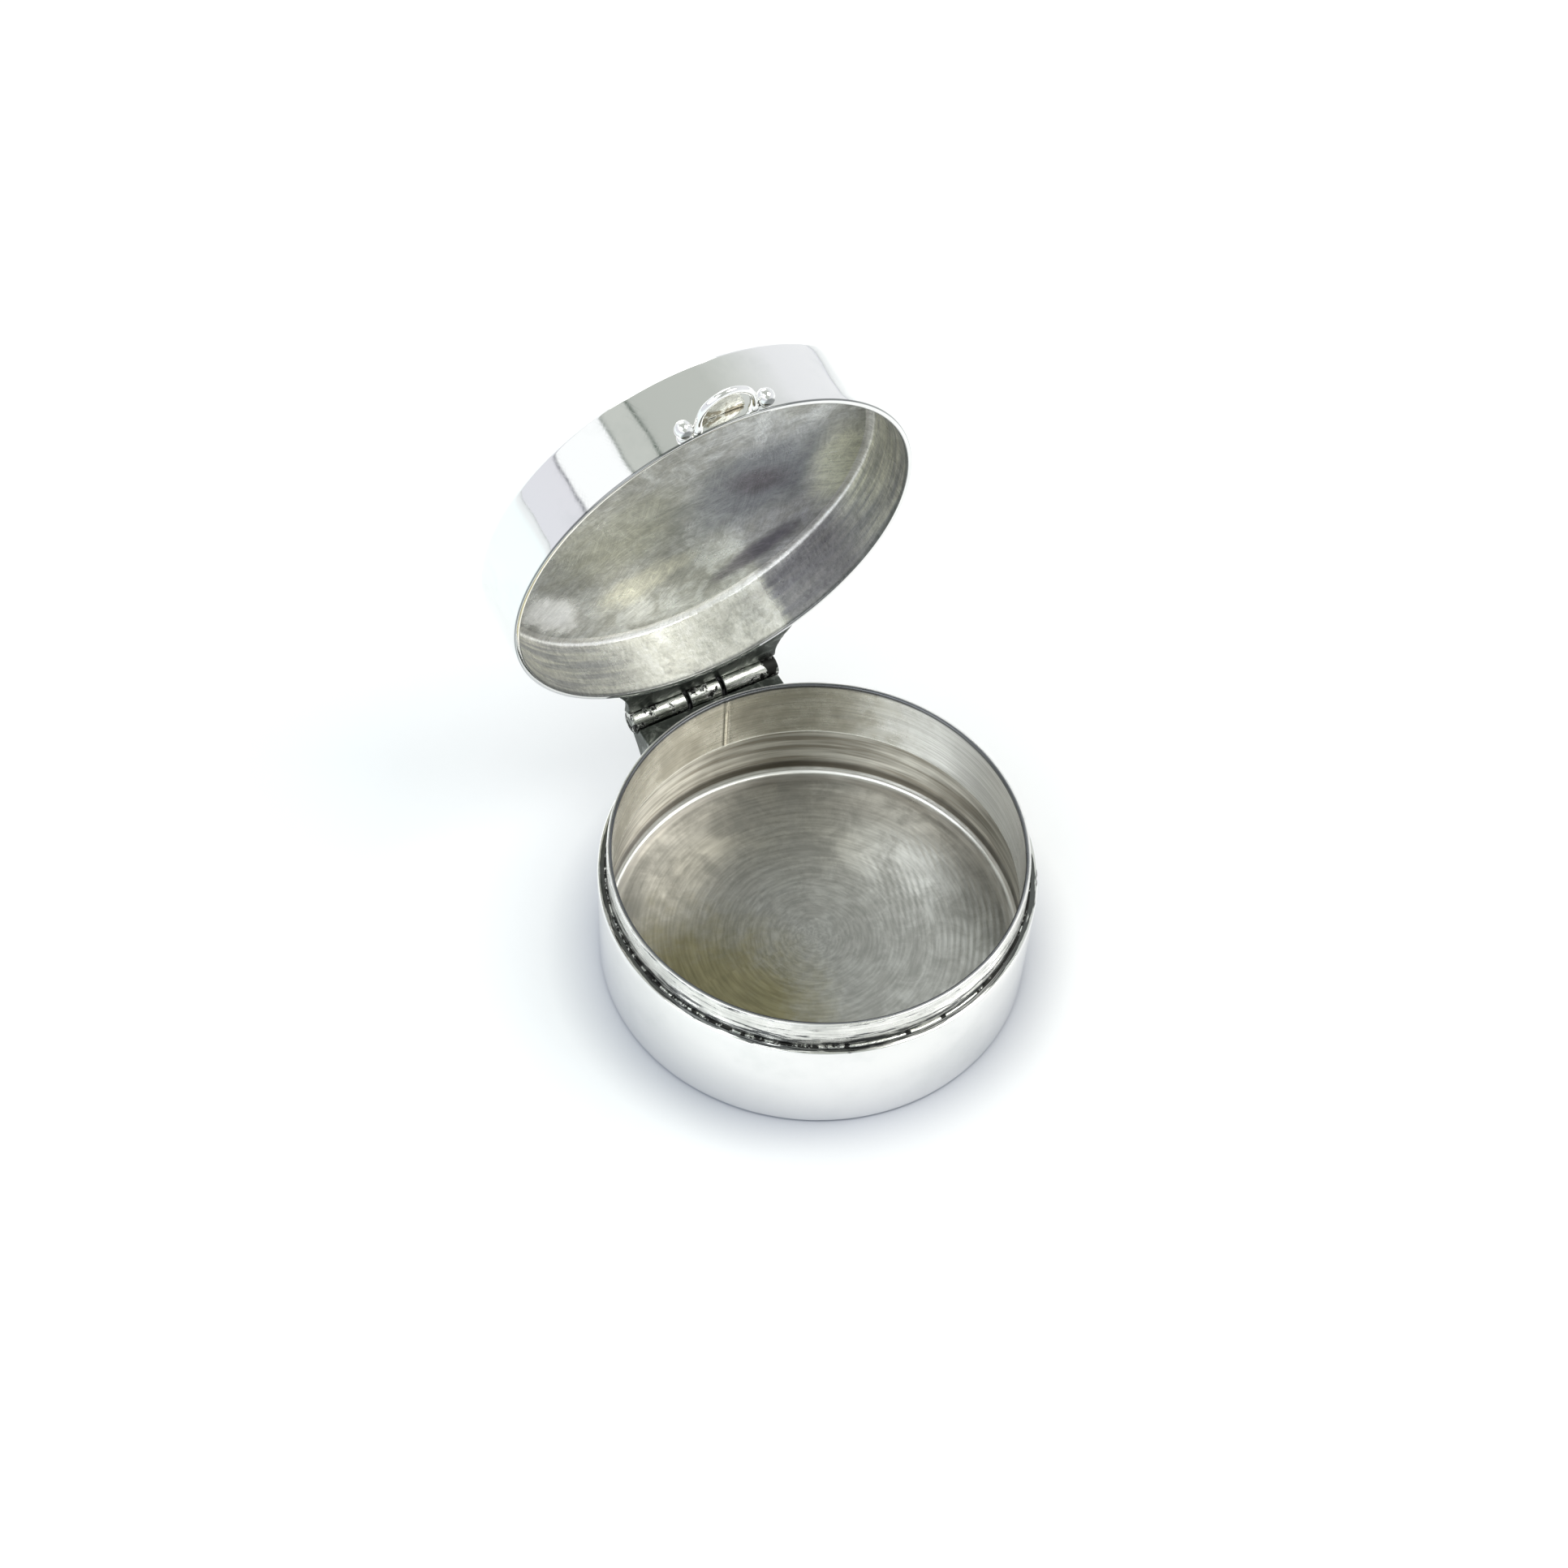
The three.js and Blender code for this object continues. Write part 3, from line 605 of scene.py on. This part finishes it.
def collar_silver():
    """Warm satin strip: dull and brown inside, with painted light on its left and right inner faces; bright
    outside with dark streaks of tarnish and painted dark reflection; painted highlights on its top and
    lower edge, painted shade inside the top.
    """
    n = Nodes("silver_satin")
    where = n.position()
    x, y, z = n.split(where)
    out = n.radius(where)
    around = n.polar(where, WALL_MIDDLE)
    patches = n.noise(where, 2.6 * MM, detail=6, roughness=0.65)
    strokes = n.noise(n.moved(around, scale=(0.03, 1, 1)), 0.15 * MM, detail=4, roughness=0.7)
    bands = n.noise(n.moved(around, scale=(0.06, 0, 1)), 0.8 * MM, detail=3)
    dull = n.mix(n.ramp(patches, 0.35, 0.65), (0.56, 0.53, 0.45), (0.40, 0.37, 0.30))
    dull = n.mix(n.ramp(bands, 0.5, 0.7), dull, (0.46, 0.43, 0.35))
    # Painted light: lighter inner faces on the left and right, where light falls; also made smoother and
    # less metallic below.
    painted_lit_sides = n.math("MAXIMUM", bloom(n, where, (15, 1), (10, 14)), bloom(n, where, (-15, 0), (8, 13)))
    dull = n.mix(painted_lit_sides, dull, (0.90, 0.89, 0.84))
    off_seam = n.math("ABSOLUTE", n.math("SUBTRACT", n.math("ARCTAN2", y, x), COLLAR_SEAM))
    off_seam = n.math("MULTIPLY", off_seam, COLLAR_RADIUS)
    seam_low = n.ramp(z, COLLAR_HIGH.z - 1.6 * MM, COLLAR_HIGH.z - 1.1 * MM, 1.0, 0.25)
    groove = n.math("MULTIPLY", n.ramp(off_seam, 0.14 * MM, 0.24 * MM, 0.7, 0.0), seam_low)
    dull = n.mix(groove, dull, (0.16, 0.14, 0.1))
    solder = n.math("MULTIPLY", n.ramp(off_seam, 0.05 * MM, 0.14 * MM, 1.0, 0.0), seam_low)
    dull = n.mix(solder, dull, (0.86, 0.80, 0.66))
    # Painted highlight along the strip's lower edge.
    lower_edge_highlight = n.ramp(z, COLLAR_LOW.z + 0.1 * MM, COLLAR_LOW.z + 0.28 * MM, 1.0, 0.0)
    dull = n.mix(lower_edge_highlight, dull, (0.95, 0.93, 0.86))

    clean = n.mix(n.ramp(patches, 0.35, 0.65), (0.93, 0.92, 0.88), (0.72, 0.72, 0.68))
    # Dark streaks outside, heaviest near the shoulder, in a band about 1 mm above it and just under the
    # top: tarnish with painted dark reflection.
    dark_streak_noise = n.noise(n.moved(around, scale=(0.1, 0, 1)), 0.34 * MM, detail=5, roughness=0.7)
    low = n.ramp(z, SEAM_Z + 0.3 * MM, SEAM_Z + 1.1 * MM, 0.12, -0.02)
    high = n.ramp(z, COLLAR_HIGH.z - 0.55 * MM, COLLAR_HIGH.z - 0.3 * MM, 0.0, 0.05)
    off_dark_band = n.math("ABSOLUTE", n.math("SUBTRACT", z, SEAM_Z + 1.05 * MM))
    worn = n.ramp(off_dark_band, 0.08 * MM, 0.3 * MM, 0.1, 0.0)
    dirt_and_dark_reflection = n.math("ADD", n.math("ADD", dark_streak_noise, worn), n.math("ADD", low, high))
    dirt_and_dark_reflection = n.ramp(dirt_and_dark_reflection, 0.56, 0.62)
    outer = n.mix(n.math("MULTIPLY", dirt_and_dark_reflection, 0.92), clean, (0.06, 0.065, 0.07))
    colour = n.mix(n.ramp(out, *COLLAR_INNER_FACE), dull, outer)
    # Painted highlight along the top; painted shade on the top's inner half and down the bore side just
    # under it.
    top = n.ramp(z, COLLAR_HIGH.z - 0.09 * MM, COLLAR_HIGH.z - 0.04 * MM)
    colour = n.mix(n.math("MULTIPLY", top, 0.9), colour, (0.93, 0.92, 0.9))
    inner_half = n.ramp(out, COLLAR_BORE + 0.16 * MM, COLLAR_BORE + 0.24 * MM, 0.8, 0.0)
    colour = n.mix(n.math("MULTIPLY", top, inner_half), colour, (0.17, 0.18, 0.21))
    lip = n.ramp(z, COLLAR_HIGH.z - 0.34 * MM, COLLAR_HIGH.z - 0.2 * MM)
    bore_side = n.ramp(out, COLLAR_BORE + 0.1 * MM, COLLAR_BORE + 0.15 * MM, 0.85, 0.0)
    colour = n.mix(n.math("MULTIPLY", lip, bore_side), colour, (0.10, 0.105, 0.115))

    colour = n.shade(colour, n.ramp(strokes, 0.3, 0.7, 0.82, 1.14))
    roughness = n.math("ADD", n.ramp(patches, 0.3, 0.7, 0.18, 0.28), n.math("MULTIPLY", strokes, 0.12))
    inside = n.ramp(out, *COLLAR_INNER_FACE, 1.0, 0.0)
    shiny = n.math("MULTIPLY", painted_lit_sides, inside)
    roughness = n.math("MULTIPLY", roughness, n.ramp(shiny, 0.0, 1.0, 1.0, 0.7))
    first = n.bump(strokes, 0.014 * MM, 0.8)
    second = n.bump(n.noise(where, 2.0 * MM, detail=2), 0.06 * MM, 0.6, below=first)
    return n.finish(colour, roughness, second, metallic=n.ramp(shiny, 0.0, 1.0, 1.0, 0.6))


def aged_silver():
    """Bright worn ridges with black tarnish in pits and at the ends, and black beside the gaps between
    knuckles that is tarnish with painted shade.
    """
    n = Nodes("silver_aged")
    where = n.position()
    x, _, _ = n.split(where)
    drawn = n.moved(where, scale=(0.2, 1, 1))
    patches = n.noise(where, 0.8 * MM, detail=5, roughness=0.7)
    streaks = n.noise(drawn, 0.28 * MM, detail=4, roughness=0.65)
    right_end = n.ramp(x, RIGHT_HIGH.x - 2.2 * MM, RIGHT_HIGH.x - 0.4 * MM, 0.0, 0.16)
    left_end = n.ramp(x, LEFT_LOW.x + 0.1 * MM, LEFT_LOW.x + 0.9 * MM, 0.12, 0.0)
    dark = n.ramp(n.math("ADD", patches, n.math("ADD", right_end, left_end)), 0.56, 0.62)
    # Black beside each gap between knuckles: tarnish with painted shade in the gap.
    for centre in (LEFT_HIGH.x + MIDDLE_LOW.x, MIDDLE_HIGH.x + RIGHT_LOW.x):
        off_gap = n.math("ABSOLUTE", n.math("SUBTRACT", x, centre / 2))
        dark = n.math("MAXIMUM", dark, n.ramp(off_gap, 0.15 * MM, 0.24 * MM, 1.0, 0.0))
    grey = n.mix(n.ramp(streaks, 0.36, 0.62), (0.93, 0.93, 0.88), (0.42, 0.44, 0.40))
    colour = n.mix(dark, grey, (0.03, 0.03, 0.028))
    roughness = n.math("ADD", n.math("MULTIPLY", dark, 0.35), n.math("MULTIPLY", streaks, 0.16))
    roughness = n.math("ADD", roughness, 0.1)
    first = n.bump(streaks, 0.03 * MM, 0.7)
    pits = n.bump(dark, -0.05 * MM, 0.6, below=first)
    return n.finish(colour, roughness, pits)


def tongue_silver():
    """Cream satin, darker and browner towards the wall."""
    n = Nodes("silver_tongue")
    where = closed_lid_space(n)
    _, y, _ = n.split(where)
    patches = n.noise(where, 0.9 * MM, detail=5, roughness=0.65)
    fine = n.noise(n.moved(where, scale=(0.2, 1, 1)), 0.12 * MM, detail=3)
    # Darker and browner towards the wall.
    root = n.ramp(y, -SHELL_RADIUS - 0.9 * MM, -SHELL_RADIUS, 0.0, 0.14)
    darker_near_wall = n.ramp(n.math("ADD", patches, root), 0.56, 0.66)
    colour = n.mix(darker_near_wall, (0.74, 0.74, 0.68), (0.30, 0.27, 0.20))
    colour = n.shade(colour, n.ramp(fine, 0.3, 0.7, 0.88, 1.08))
    roughness = n.math("ADD", n.math("MULTIPLY", patches, 0.2), 0.14)
    first = n.bump(fine, 0.008 * MM, 0.6)
    second = n.bump(patches, 0.04 * MM, 0.6, below=first)
    return n.finish(colour, roughness, second)


def web_silver():
    """Near-black green of the brackets and pin: tarnish deepened into painted shade, scraped bright here
    and there.
    """
    n = Nodes("silver_web")
    where = n.position()
    patches = n.noise(where, 1.2 * MM, detail=5, roughness=0.65, distortion=0.5)
    scraped = n.ramp(patches, 0.46, 0.74)
    # Near-black: tarnish with painted shade.
    colour = n.mix(scraped, (0.085, 0.095, 0.085), (0.38, 0.40, 0.37))
    fine = n.noise(where, 0.2 * MM, detail=3)
    roughness = n.math("SUBTRACT", 0.42, n.math("MULTIPLY", scraped, 0.2))
    first = n.bump(fine, 0.02 * MM, 0.7)
    second = n.bump(patches, 0.08 * MM, 0.7, below=first)
    return n.finish(colour, roughness, second)


def floor_material():
    """Pale matt paper tinted bluish to the left as painted cool light, greyer far from the box, with a soft
    painted shadow where the box touches it.
    """
    n = Nodes("floor_paper")
    where = n.position()
    x, _, _ = n.split(where)
    # Painted light: the paper is tinted bluish to the left.
    paper = n.mix(n.ramp(x, -0.06, 0.0), (0.86, 0.915, 0.935), (0.92, 0.92, 0.925))
    paper = n.mix(n.ramp(n.radius(where), 0.22, 0.5), paper, (0.8, 0.81, 0.83))
    # Painted shadow, darkest where the box touches the paper.
    contact_shadow = n.tree.nodes.new("ShaderNodeAmbientOcclusion")
    contact_shadow.inputs["Distance"].default_value = 4 * MM
    colour = n.mix(contact_shadow.outputs["AO"], (0.16, 0.19, 0.27), paper)
    n.put(n.shader.inputs["Base Color"], colour)
    n.shader.inputs["Roughness"].default_value = 0.9
    n.shader.inputs["Specular IOR Level"].default_value = 0.2
    return n.material


# ---- Pieces on the base ------------------------------------------------------------------------

def base_shell(outside, inside):
    """Cup: polished outside and shoulder, dull inside."""
    foot_flat = FOOT_RADIUS - FOOT_ROUND
    fillet_r = BASE_BORE - FLOOR_FILLET
    outline = [(0, 0)] + arc(foot_flat, FOOT_ROUND, FOOT_ROUND, -90, 0, 8)
    outline += arc(SHELL_RADIUS - EDGE_ROUND, SEAM_Z - EDGE_ROUND, EDGE_ROUND, 0, 90, 5)
    outline += [(BASE_BORE, SEAM_Z)]
    outline += arc(fillet_r, FLOOR_Z + FLOOR_FILLET, FLOOR_FILLET, 0, -90, 8) + [(0, FLOOR_Z)]
    bm = lathe(refine(outline, WALL_STEP, closed=False), closed=False)
    for face in bm.faces:
        middle = face.calc_center_median()
        radius = math.hypot(middle.x, middle.y)
        inner = radius < BASE_BORE + 0.05 * MM and middle.z > FLOOR_Z - 0.1 * MM
        face.material_index = 1 if inner else 0
    hand_made(bm, 0.03 * MM, 2.4)
    piece = to_object("base_cup", bm, (outside, inside))
    return settle(piece, "base", "silver_polished", "base_shell")


def collar(material):
    """Strip bent round, with rounded edges and a soldered butt seam beside the hinge."""
    round_r = 0.13 * MM
    low, high = COLLAR_LOW.z, COLLAR_HIGH.z
    outline = arc(COLLAR_RADIUS - round_r, high - round_r, round_r, 0, 90, 5)
    outline += arc(COLLAR_BORE + round_r, high - round_r, round_r, 90, 180, 5)
    outline += arc(COLLAR_BORE + round_r, low + round_r, round_r, 180, 270, 4)
    outline += arc(COLLAR_RADIUS - round_r / 2, low + round_r / 2, round_r / 2, 270, 360, 3)
    bm = lathe(refine(outline, WALL_STEP, closed=True), steps=720)
    hand_made(bm, 0.03 * MM, 3.1)
    for vert in bm.verts:
        x, y, z = vert.co
        off_seam = abs(math.atan2(y, x) - COLLAR_SEAM) * COLLAR_RADIUS
        if off_seam < SEAM_RIDGE_HALF and math.hypot(x, y) < COLLAR_BORE + 0.1 * MM:
            ridge = SEAM_RIDGE_HEIGHT * math.cos(off_seam / SEAM_RIDGE_HALF * 1.5 * math.pi)
            vert.co.x -= math.cos(COLLAR_SEAM) * ridge
            vert.co.y -= math.sin(COLLAR_SEAM) * ridge
        if z > SEAM_Z:
            share = (z - SEAM_Z) / (high - SEAM_Z)
            vert.co.z += 0.025 * MM * share * (noise.noise(vert.co * 260) - 1)
    piece = to_object("base_collar_strip", bm, (material,))
    return settle(piece, "base", "silver_satin", "base_collar")


def solder_line(material):
    """Uneven thread of solder in the corner between the collar and the shoulder."""
    steps, sides = 360, 8
    bm = bmesh.new()
    rings = []
    for i in range(steps):
        angle = 2 * math.pi * i / steps
        around = Vector((math.cos(angle), math.sin(angle), 0))
        size = SOLDER_SIZE * (1 + 0.35 * noise.noise(around * 9))
        ring = []
        for k in range(sides):
            turn = 2 * math.pi * k / sides
            out = COLLAR_RADIUS + 0.03 * MM + size * math.cos(turn)
            ring.append(bm.verts.new((out * around.x, out * around.y, SEAM_Z + size * math.sin(turn))))
        rings.append(ring)
    join_rings(bm, rings + rings[:1])
    bmesh.ops.recalc_face_normals(bm, faces=bm.faces)
    piece = to_object("collar_solder", bm, (material,))
    return settle(piece, "base", "silver_aged")


def hinge_tube(name, body, node, from_x, to_x, material):
    """A length of hinge tube with worn ends."""
    chamfer = 0.07 * MM
    outline = [(KNUCKLE_BORE, from_x), (BARREL_RADIUS - chamfer, from_x)]
    outline += [(BARREL_RADIUS - 0.3 * chamfer, from_x + 0.3 * chamfer)]
    outline += [(BARREL_RADIUS, from_x + chamfer), (BARREL_RADIUS, to_x - chamfer)]
    outline += [(BARREL_RADIUS - 0.3 * chamfer, to_x - 0.3 * chamfer)]
    outline += [(BARREL_RADIUS - chamfer, to_x), (KNUCKLE_BORE, to_x)]
    bm = lathe(refine(outline, 0.12 * MM, closed=True), steps=72)
    for vert in bm.verts:
        if math.hypot(vert.co.x, vert.co.y) > BARREL_RADIUS * 0.9:
            dent = 1 - 0.02 * (0.5 + 0.5 * noise.noise(vert.co * 900))
            vert.co.x *= dent
            vert.co.y *= dent
    piece = to_object(name, bm, (material,), matrix=ALONG_HINGE)
    return settle(piece, body, "silver_aged", node)


def stop_heel(name, low_x, high_x, material):
    """Heel under a lid knuckle, which meets the base's bracket when the lid is fully open."""
    near, tip, root = -0.03 * MM, 0.2 * MM, 0.35 * MM
    top = 0.6 * MM
    middle = (low_x + high_x) / 2
    corners = [(near, -HEEL_REACH), (tip, -HEEL_REACH), (root, -top), (near, -top)]
    steps = 24
    bm = bmesh.new()
    rows = []
    for i in range(steps + 1):
        x = middle + HEEL_LENGTH * (i / steps - 0.5)
        worn = 0.03 * MM * (0.5 + 0.5 * noise.noise(Vector((x * 1500, 0, 0))))
        row = []
        for y, z in corners:
            lift = worn if z < -top else 0.0
            row.append(bm.verts.new((x, HINGE_POINT.y + y, HINGE_POINT.z + z + lift)))
        rows.append(row)
    join_rings(bm, rows)
    bm.faces.new(rows[0])
    bm.faces.new(rows[-1])
    bmesh.ops.recalc_face_normals(bm, faces=bm.faces)
    sharp = [e for e in bm.edges if len(e.link_faces) == 2 and e.calc_face_angle() > 0.5]
    bmesh.ops.bevel(bm, geom=sharp, offset=0.04 * MM, segments=3, affect="EDGES")
    return settle(to_object(name, bm, (material,)), "lid", "silver_aged")


def pin(material):
    """Wire through the knuckles, with slightly domed ends."""
    dome = 0.06 * MM
    low, high = PIN_LOW.x, PIN_HIGH.x
    outline = [(0, low), (PIN_RADIUS * 0.6, low + dome * 0.3), (PIN_RADIUS, low + dome)]
    outline += [(PIN_RADIUS, high - dome), (PIN_RADIUS * 0.6, high - dome * 0.3), (0, high)]
    bm = lathe(outline, steps=32, closed=False)
    piece = to_object("hinge_wire", bm, (material,), matrix=ALONG_HINGE)
    return settle(piece, "lid", "silver_aged", "hinge_pin")


def bracket(name, body, node, material):
    piece = softened_copy(node, name, 0.055 * MM, 5)
    piece.data.materials.append(material)
    return settle(piece, body, "silver_aged", node)


# ---- Pieces on the lid -------------------------------------------------------------------------

def crowned(radius, edge_z, steps):
    """Points across a crowned disc, from near its middle to near its edge."""
    shares = [i / steps for i in range(1, steps)]
    return [(radius * s, edge_z + LID_CROWN * (1 - s * s)) for s in shares]


def lid_shell(outside, inside):
    """Shallow cap: polished outside, rubbed inside."""
    edge_z = RIM_Z + LID_DEPTH
    inside_z = edge_z - LID_TOP_THICKNESS
    round_r = SHELL_RADIUS - LID_EDGE_ROUND
    fillet_r = LID_BORE - LID_FILLET
    lip = 0.09 * MM
    outline = [(0, inside_z + LID_CROWN)] + crowned(fillet_r, inside_z, 24)
    outline += arc(fillet_r, inside_z - LID_FILLET, LID_FILLET, 90, 0, 10)
    outline += arc(LID_BORE + lip, RIM_Z + lip, lip, 180, 270, 5)
    outline += arc(SHELL_RADIUS - lip, RIM_Z + lip, lip, 270, 360, 5)
    outline += arc(round_r, edge_z - LID_EDGE_ROUND, LID_EDGE_ROUND, 0, 90, 8)
    outline += crowned(round_r, edge_z, 24)[::-1] + [(0, edge_z + LID_CROWN)]
    bm = lathe(refine(outline, WALL_STEP, closed=False), closed=False)
    for face in bm.faces:
        middle = face.calc_center_median()
        radius = math.hypot(middle.x, middle.y)
        inner = radius < LID_BORE + 0.03 * MM and middle.z < inside_z + LID_CROWN + 0.05 * MM
        face.material_index = 1 if inner else 0
    hand_made(bm, 0.035 * MM, 2.1)
    piece = to_object("lid_cap", bm, (outside, inside), matrix=TO_OPEN)
    return settle(piece, "lid", "silver_polished", "lid_shell")


def thumb_loop(material):
    """Wire arch whose feet spread a little where they are soldered to the wall."""
    steps = 72
    path, radii = [], []
    for i in range(steps + 1):
        angle = math.pi * i / steps
        x = -LOOP_HALF * math.cos(angle) * (1 + LOOP_BULGE * math.sin(2 * angle) ** 2)
        out = LOOP_REACH * math.sin(angle) ** LOOP_SQUARENESS + LOOP_ROOT * (math.sin(angle) - 1)
        path.append(Vector((x, -SHELL_RADIUS - out, RIM_Z + LOOP_HEIGHT)))
        foot = math.exp(-max(0, out) / (0.25 * MM))
        radii.append(WIRE_RADIUS * (1 + 0.5 * foot + 0.05 * noise.noise(path[-1] * 1500)))
    bm = sweep_wire(path, radii, 24)
    piece = to_object("thumb_wire", bm, (material,), matrix=TO_OPEN @ TO_THUMB)
    return settle(piece, "lid", "silver_polished", "thumb_loop")


def thumb_lip(material):
    piece = softened_copy("thumb_lip", "thumb_tongue", 0.035 * MM, 5)
    piece.data.materials.append(material)
    return settle(piece, "lid", "silver_polished", "thumb_lip")


def thumb_bead(side, name, node, material):
    """Slightly uneven ball, flattened where it is soldered to the wall."""
    out = SHELL_RADIUS + BEAD_OUT
    centre = Vector((side * BEAD_X, -math.sqrt(out * out - BEAD_X * BEAD_X), RIM_Z + BEAD_RADIUS))
    bm = bmesh.new()
    bmesh.ops.create_icosphere(bm, subdivisions=5, radius=BEAD_RADIUS)
    for vert in bm.verts:
        vert.co *= 1 - 0.03 * (0.5 + 0.5 * noise.noise(vert.co * 1800))
        place = vert.co + centre
        radius = math.hypot(place.x, place.y)
        least = SHELL_RADIUS + 0.01 * MM
        if radius < least:
            place.x *= least / radius
            place.y *= least / radius
        vert.co = place
    piece = to_object(name, bm, (material,), matrix=TO_OPEN @ TO_THUMB)
    return settle(piece, "lid", "silver_polished", node)


# ---- Studio ------------------------------------------------------------------------------------

CAMERA_AZIMUTH = math.radians(-31.8)
CAMERA_ELEVATION = math.radians(53.2)
CAMERA_ROLL = math.radians(3.75)
CAMERA_DISTANCE = 0.32
CAMERA_AIM = Vector((2.33, 8.81, 6.53)) * MM
CAMERA_LENS = 105.8


def camera_axes(azimuth, elevation, roll):
    back = Vector((
        math.sin(azimuth) * math.cos(elevation),
        -math.cos(azimuth) * math.cos(elevation),
        math.sin(elevation),
    ))
    right = Vector((math.cos(azimuth), math.sin(azimuth), 0))
    up = back.cross(right)
    rolled_right = right * math.cos(roll) + up * math.sin(roll)
    return rolled_right, back.cross(rolled_right), back


def add_camera():
    right, up, back = camera_axes(CAMERA_AZIMUTH, CAMERA_ELEVATION, CAMERA_ROLL)
    data = bpy.data.cameras.new("camera")
    data.lens = CAMERA_LENS
    data.sensor_width = 36
    data.clip_start, data.clip_end = 0.01, 20
    camera = bpy.data.objects.new("camera", data)
    rotation = Matrix((right, up, back)).transposed().to_4x4()
    camera.matrix_world = Matrix.Translation(CAMERA_AIM + back * CAMERA_DISTANCE) @ rotation
    bpy.context.scene.collection.objects.link(camera)
    bpy.context.scene.camera = camera


def add_floor():
    bm = bmesh.new()
    bmesh.ops.create_grid(bm, x_segments=2, y_segments=2, size=2)
    floor = to_object("floor", bm, (floor_material(),))


def add_light(name, azimuth, elevation, distance, size, power, colour):
    """A square softbox aimed at the box."""
    data = bpy.data.lights.new(name, "AREA")
    data.shape = "SQUARE"
    data.size = size
    data.energy = power
    data.color = colour
    light = bpy.data.objects.new(name, data)
    a, e = math.radians(azimuth), math.radians(elevation)
    back = Vector((math.sin(a) * math.cos(e), -math.cos(a) * math.cos(e), math.sin(e)))
    light.location = back * distance
    light.rotation_mode = "QUATERNION"
    light.rotation_quaternion = (-back).to_track_quat("-Z", "Y")
    bpy.context.scene.collection.objects.link(light)


# Stripes of the room, from the left wall over the ceiling to the right wall, as seen in the
# polished silver. Each is (angle from the left horizon in degrees, brightness of the stripe).
ROOM_STRIPES = (
    (0, (0.80, 0.82, 0.88)),
    (25, (0.80, 0.81, 0.87)),
    (26.5, (0.22, 0.23, 0.26)),
    (28, (1.05, 1.08, 1.10)),
    (55.5, (1.05, 1.08, 1.10)),
    (57, (0.30, 0.33, 0.31)),
    (58.5, (0.60, 0.63, 0.60)),
    (71, (0.60, 0.63, 0.60)),
    (72.5, (0.14, 0.17, 0.15)),
    (74, (0.52, 0.55, 0.52)),
    (110, (0.54, 0.57, 0.54)),
    (125, (0.66, 0.69, 0.67)),
    (150, (0.85, 0.87, 0.90)),
    (180, (0.90, 0.92, 0.95)),
)


def add_world():
    """Soft room of light and grey stripes."""
    world = bpy.data.worlds.new("room")
    bpy.context.scene.world = world
    world.use_nodes = True
    tree = world.node_tree
    background = tree.nodes["Background"]
    where = tree.nodes.new("ShaderNodeTexCoord")
    split = tree.nodes.new("ShaderNodeSeparateXYZ")
    tree.links.new(where.outputs["Generated"], split.inputs[0])
    angle = tree.nodes.new("ShaderNodeMath")
    angle.operation = "ARCTAN2"
    turned = tree.nodes.new("ShaderNodeMath")
    turned.operation = "MULTIPLY"
    turned.inputs[1].default_value = -1
    tree.links.new(split.outputs[0], turned.inputs[0])
    tree.links.new(split.outputs[2], angle.inputs[0])
    tree.links.new(turned.outputs[0], angle.inputs[1])
    share = tree.nodes.new("ShaderNodeMath")
    share.operation = "DIVIDE"
    share.inputs[1].default_value = math.pi
    tree.links.new(angle.outputs[0], share.inputs[0])
    ramp = tree.nodes.new("ShaderNodeValToRGB")
    tree.links.new(share.outputs[0], ramp.inputs[0])
    marks = ramp.color_ramp.elements
    while len(marks) < len(ROOM_STRIPES):
        marks.new(0.5)
    for mark, (degrees, colour) in zip(marks, ROOM_STRIPES):
        mark.position = degrees / 180
        mark.color = (*colour, 1)
    tree.links.new(ramp.outputs[0], background.inputs[0])
    background.inputs[1].default_value = 1.0


def add_studio():
    add_camera()
    add_floor()
    add_world()
    add_light("key", 60, 58, 1.4, 0.8, 6.5, (1.0, 0.99, 0.97))
    add_light("fill", -75, 52, 1.4, 1.0, 5, (0.9, 0.95, 1.0))
    add_light("back", 172, 34, 1.4, 0.9, 4, (1.0, 1.0, 1.0))
    bpy.context.scene.view_settings.view_transform = "Standard"
    bpy.context.scene.view_settings.exposure = 0.0


# ---- Build -------------------------------------------------------------------------------------

def build():
    polished = polished_silver("silver_polished_base", lid=False)
    polished_lid = polished_silver("silver_polished_lid", lid=True)
    lid_inside = lid_inside_silver()
    base_inside = base_inside_silver()
    satin = collar_silver()
    aged = aged_silver()
    web = web_silver()
    base_shell(polished, base_inside)
    collar(satin)
    solder_line(aged)
    bracket("base_bearer", "base", "base_hinge_bracket", web)
    hinge_tube("middle_knuckle", "base", "base_knuckle", MIDDLE_LOW.x, MIDDLE_HIGH.x, aged)
    hinge_tube("left_knuckle", "lid", "lid_knuckle_left", LEFT_LOW.x, LEFT_HIGH.x, aged)
    hinge_tube("right_knuckle", "lid", "lid_knuckle_right", RIGHT_LOW.x, RIGHT_HIGH.x, aged)
    stop_heel("left_stop", LEFT_LOW.x, LEFT_HIGH.x, web)
    stop_heel("right_stop", RIGHT_LOW.x, RIGHT_HIGH.x, web)
    pin(web)
    bracket("lid_web", "lid", "lid_hinge_bracket", web)
    lid_shell(polished_lid, lid_inside)
    thumb_loop(polished_lid)
    thumb_lip(tongue_silver())
    thumb_bead(-1, "left_bead", "thumb_bead_left", polished_lid)
    thumb_bead(1, "right_bead", "thumb_bead_right", polished_lid)


build()
add_studio()
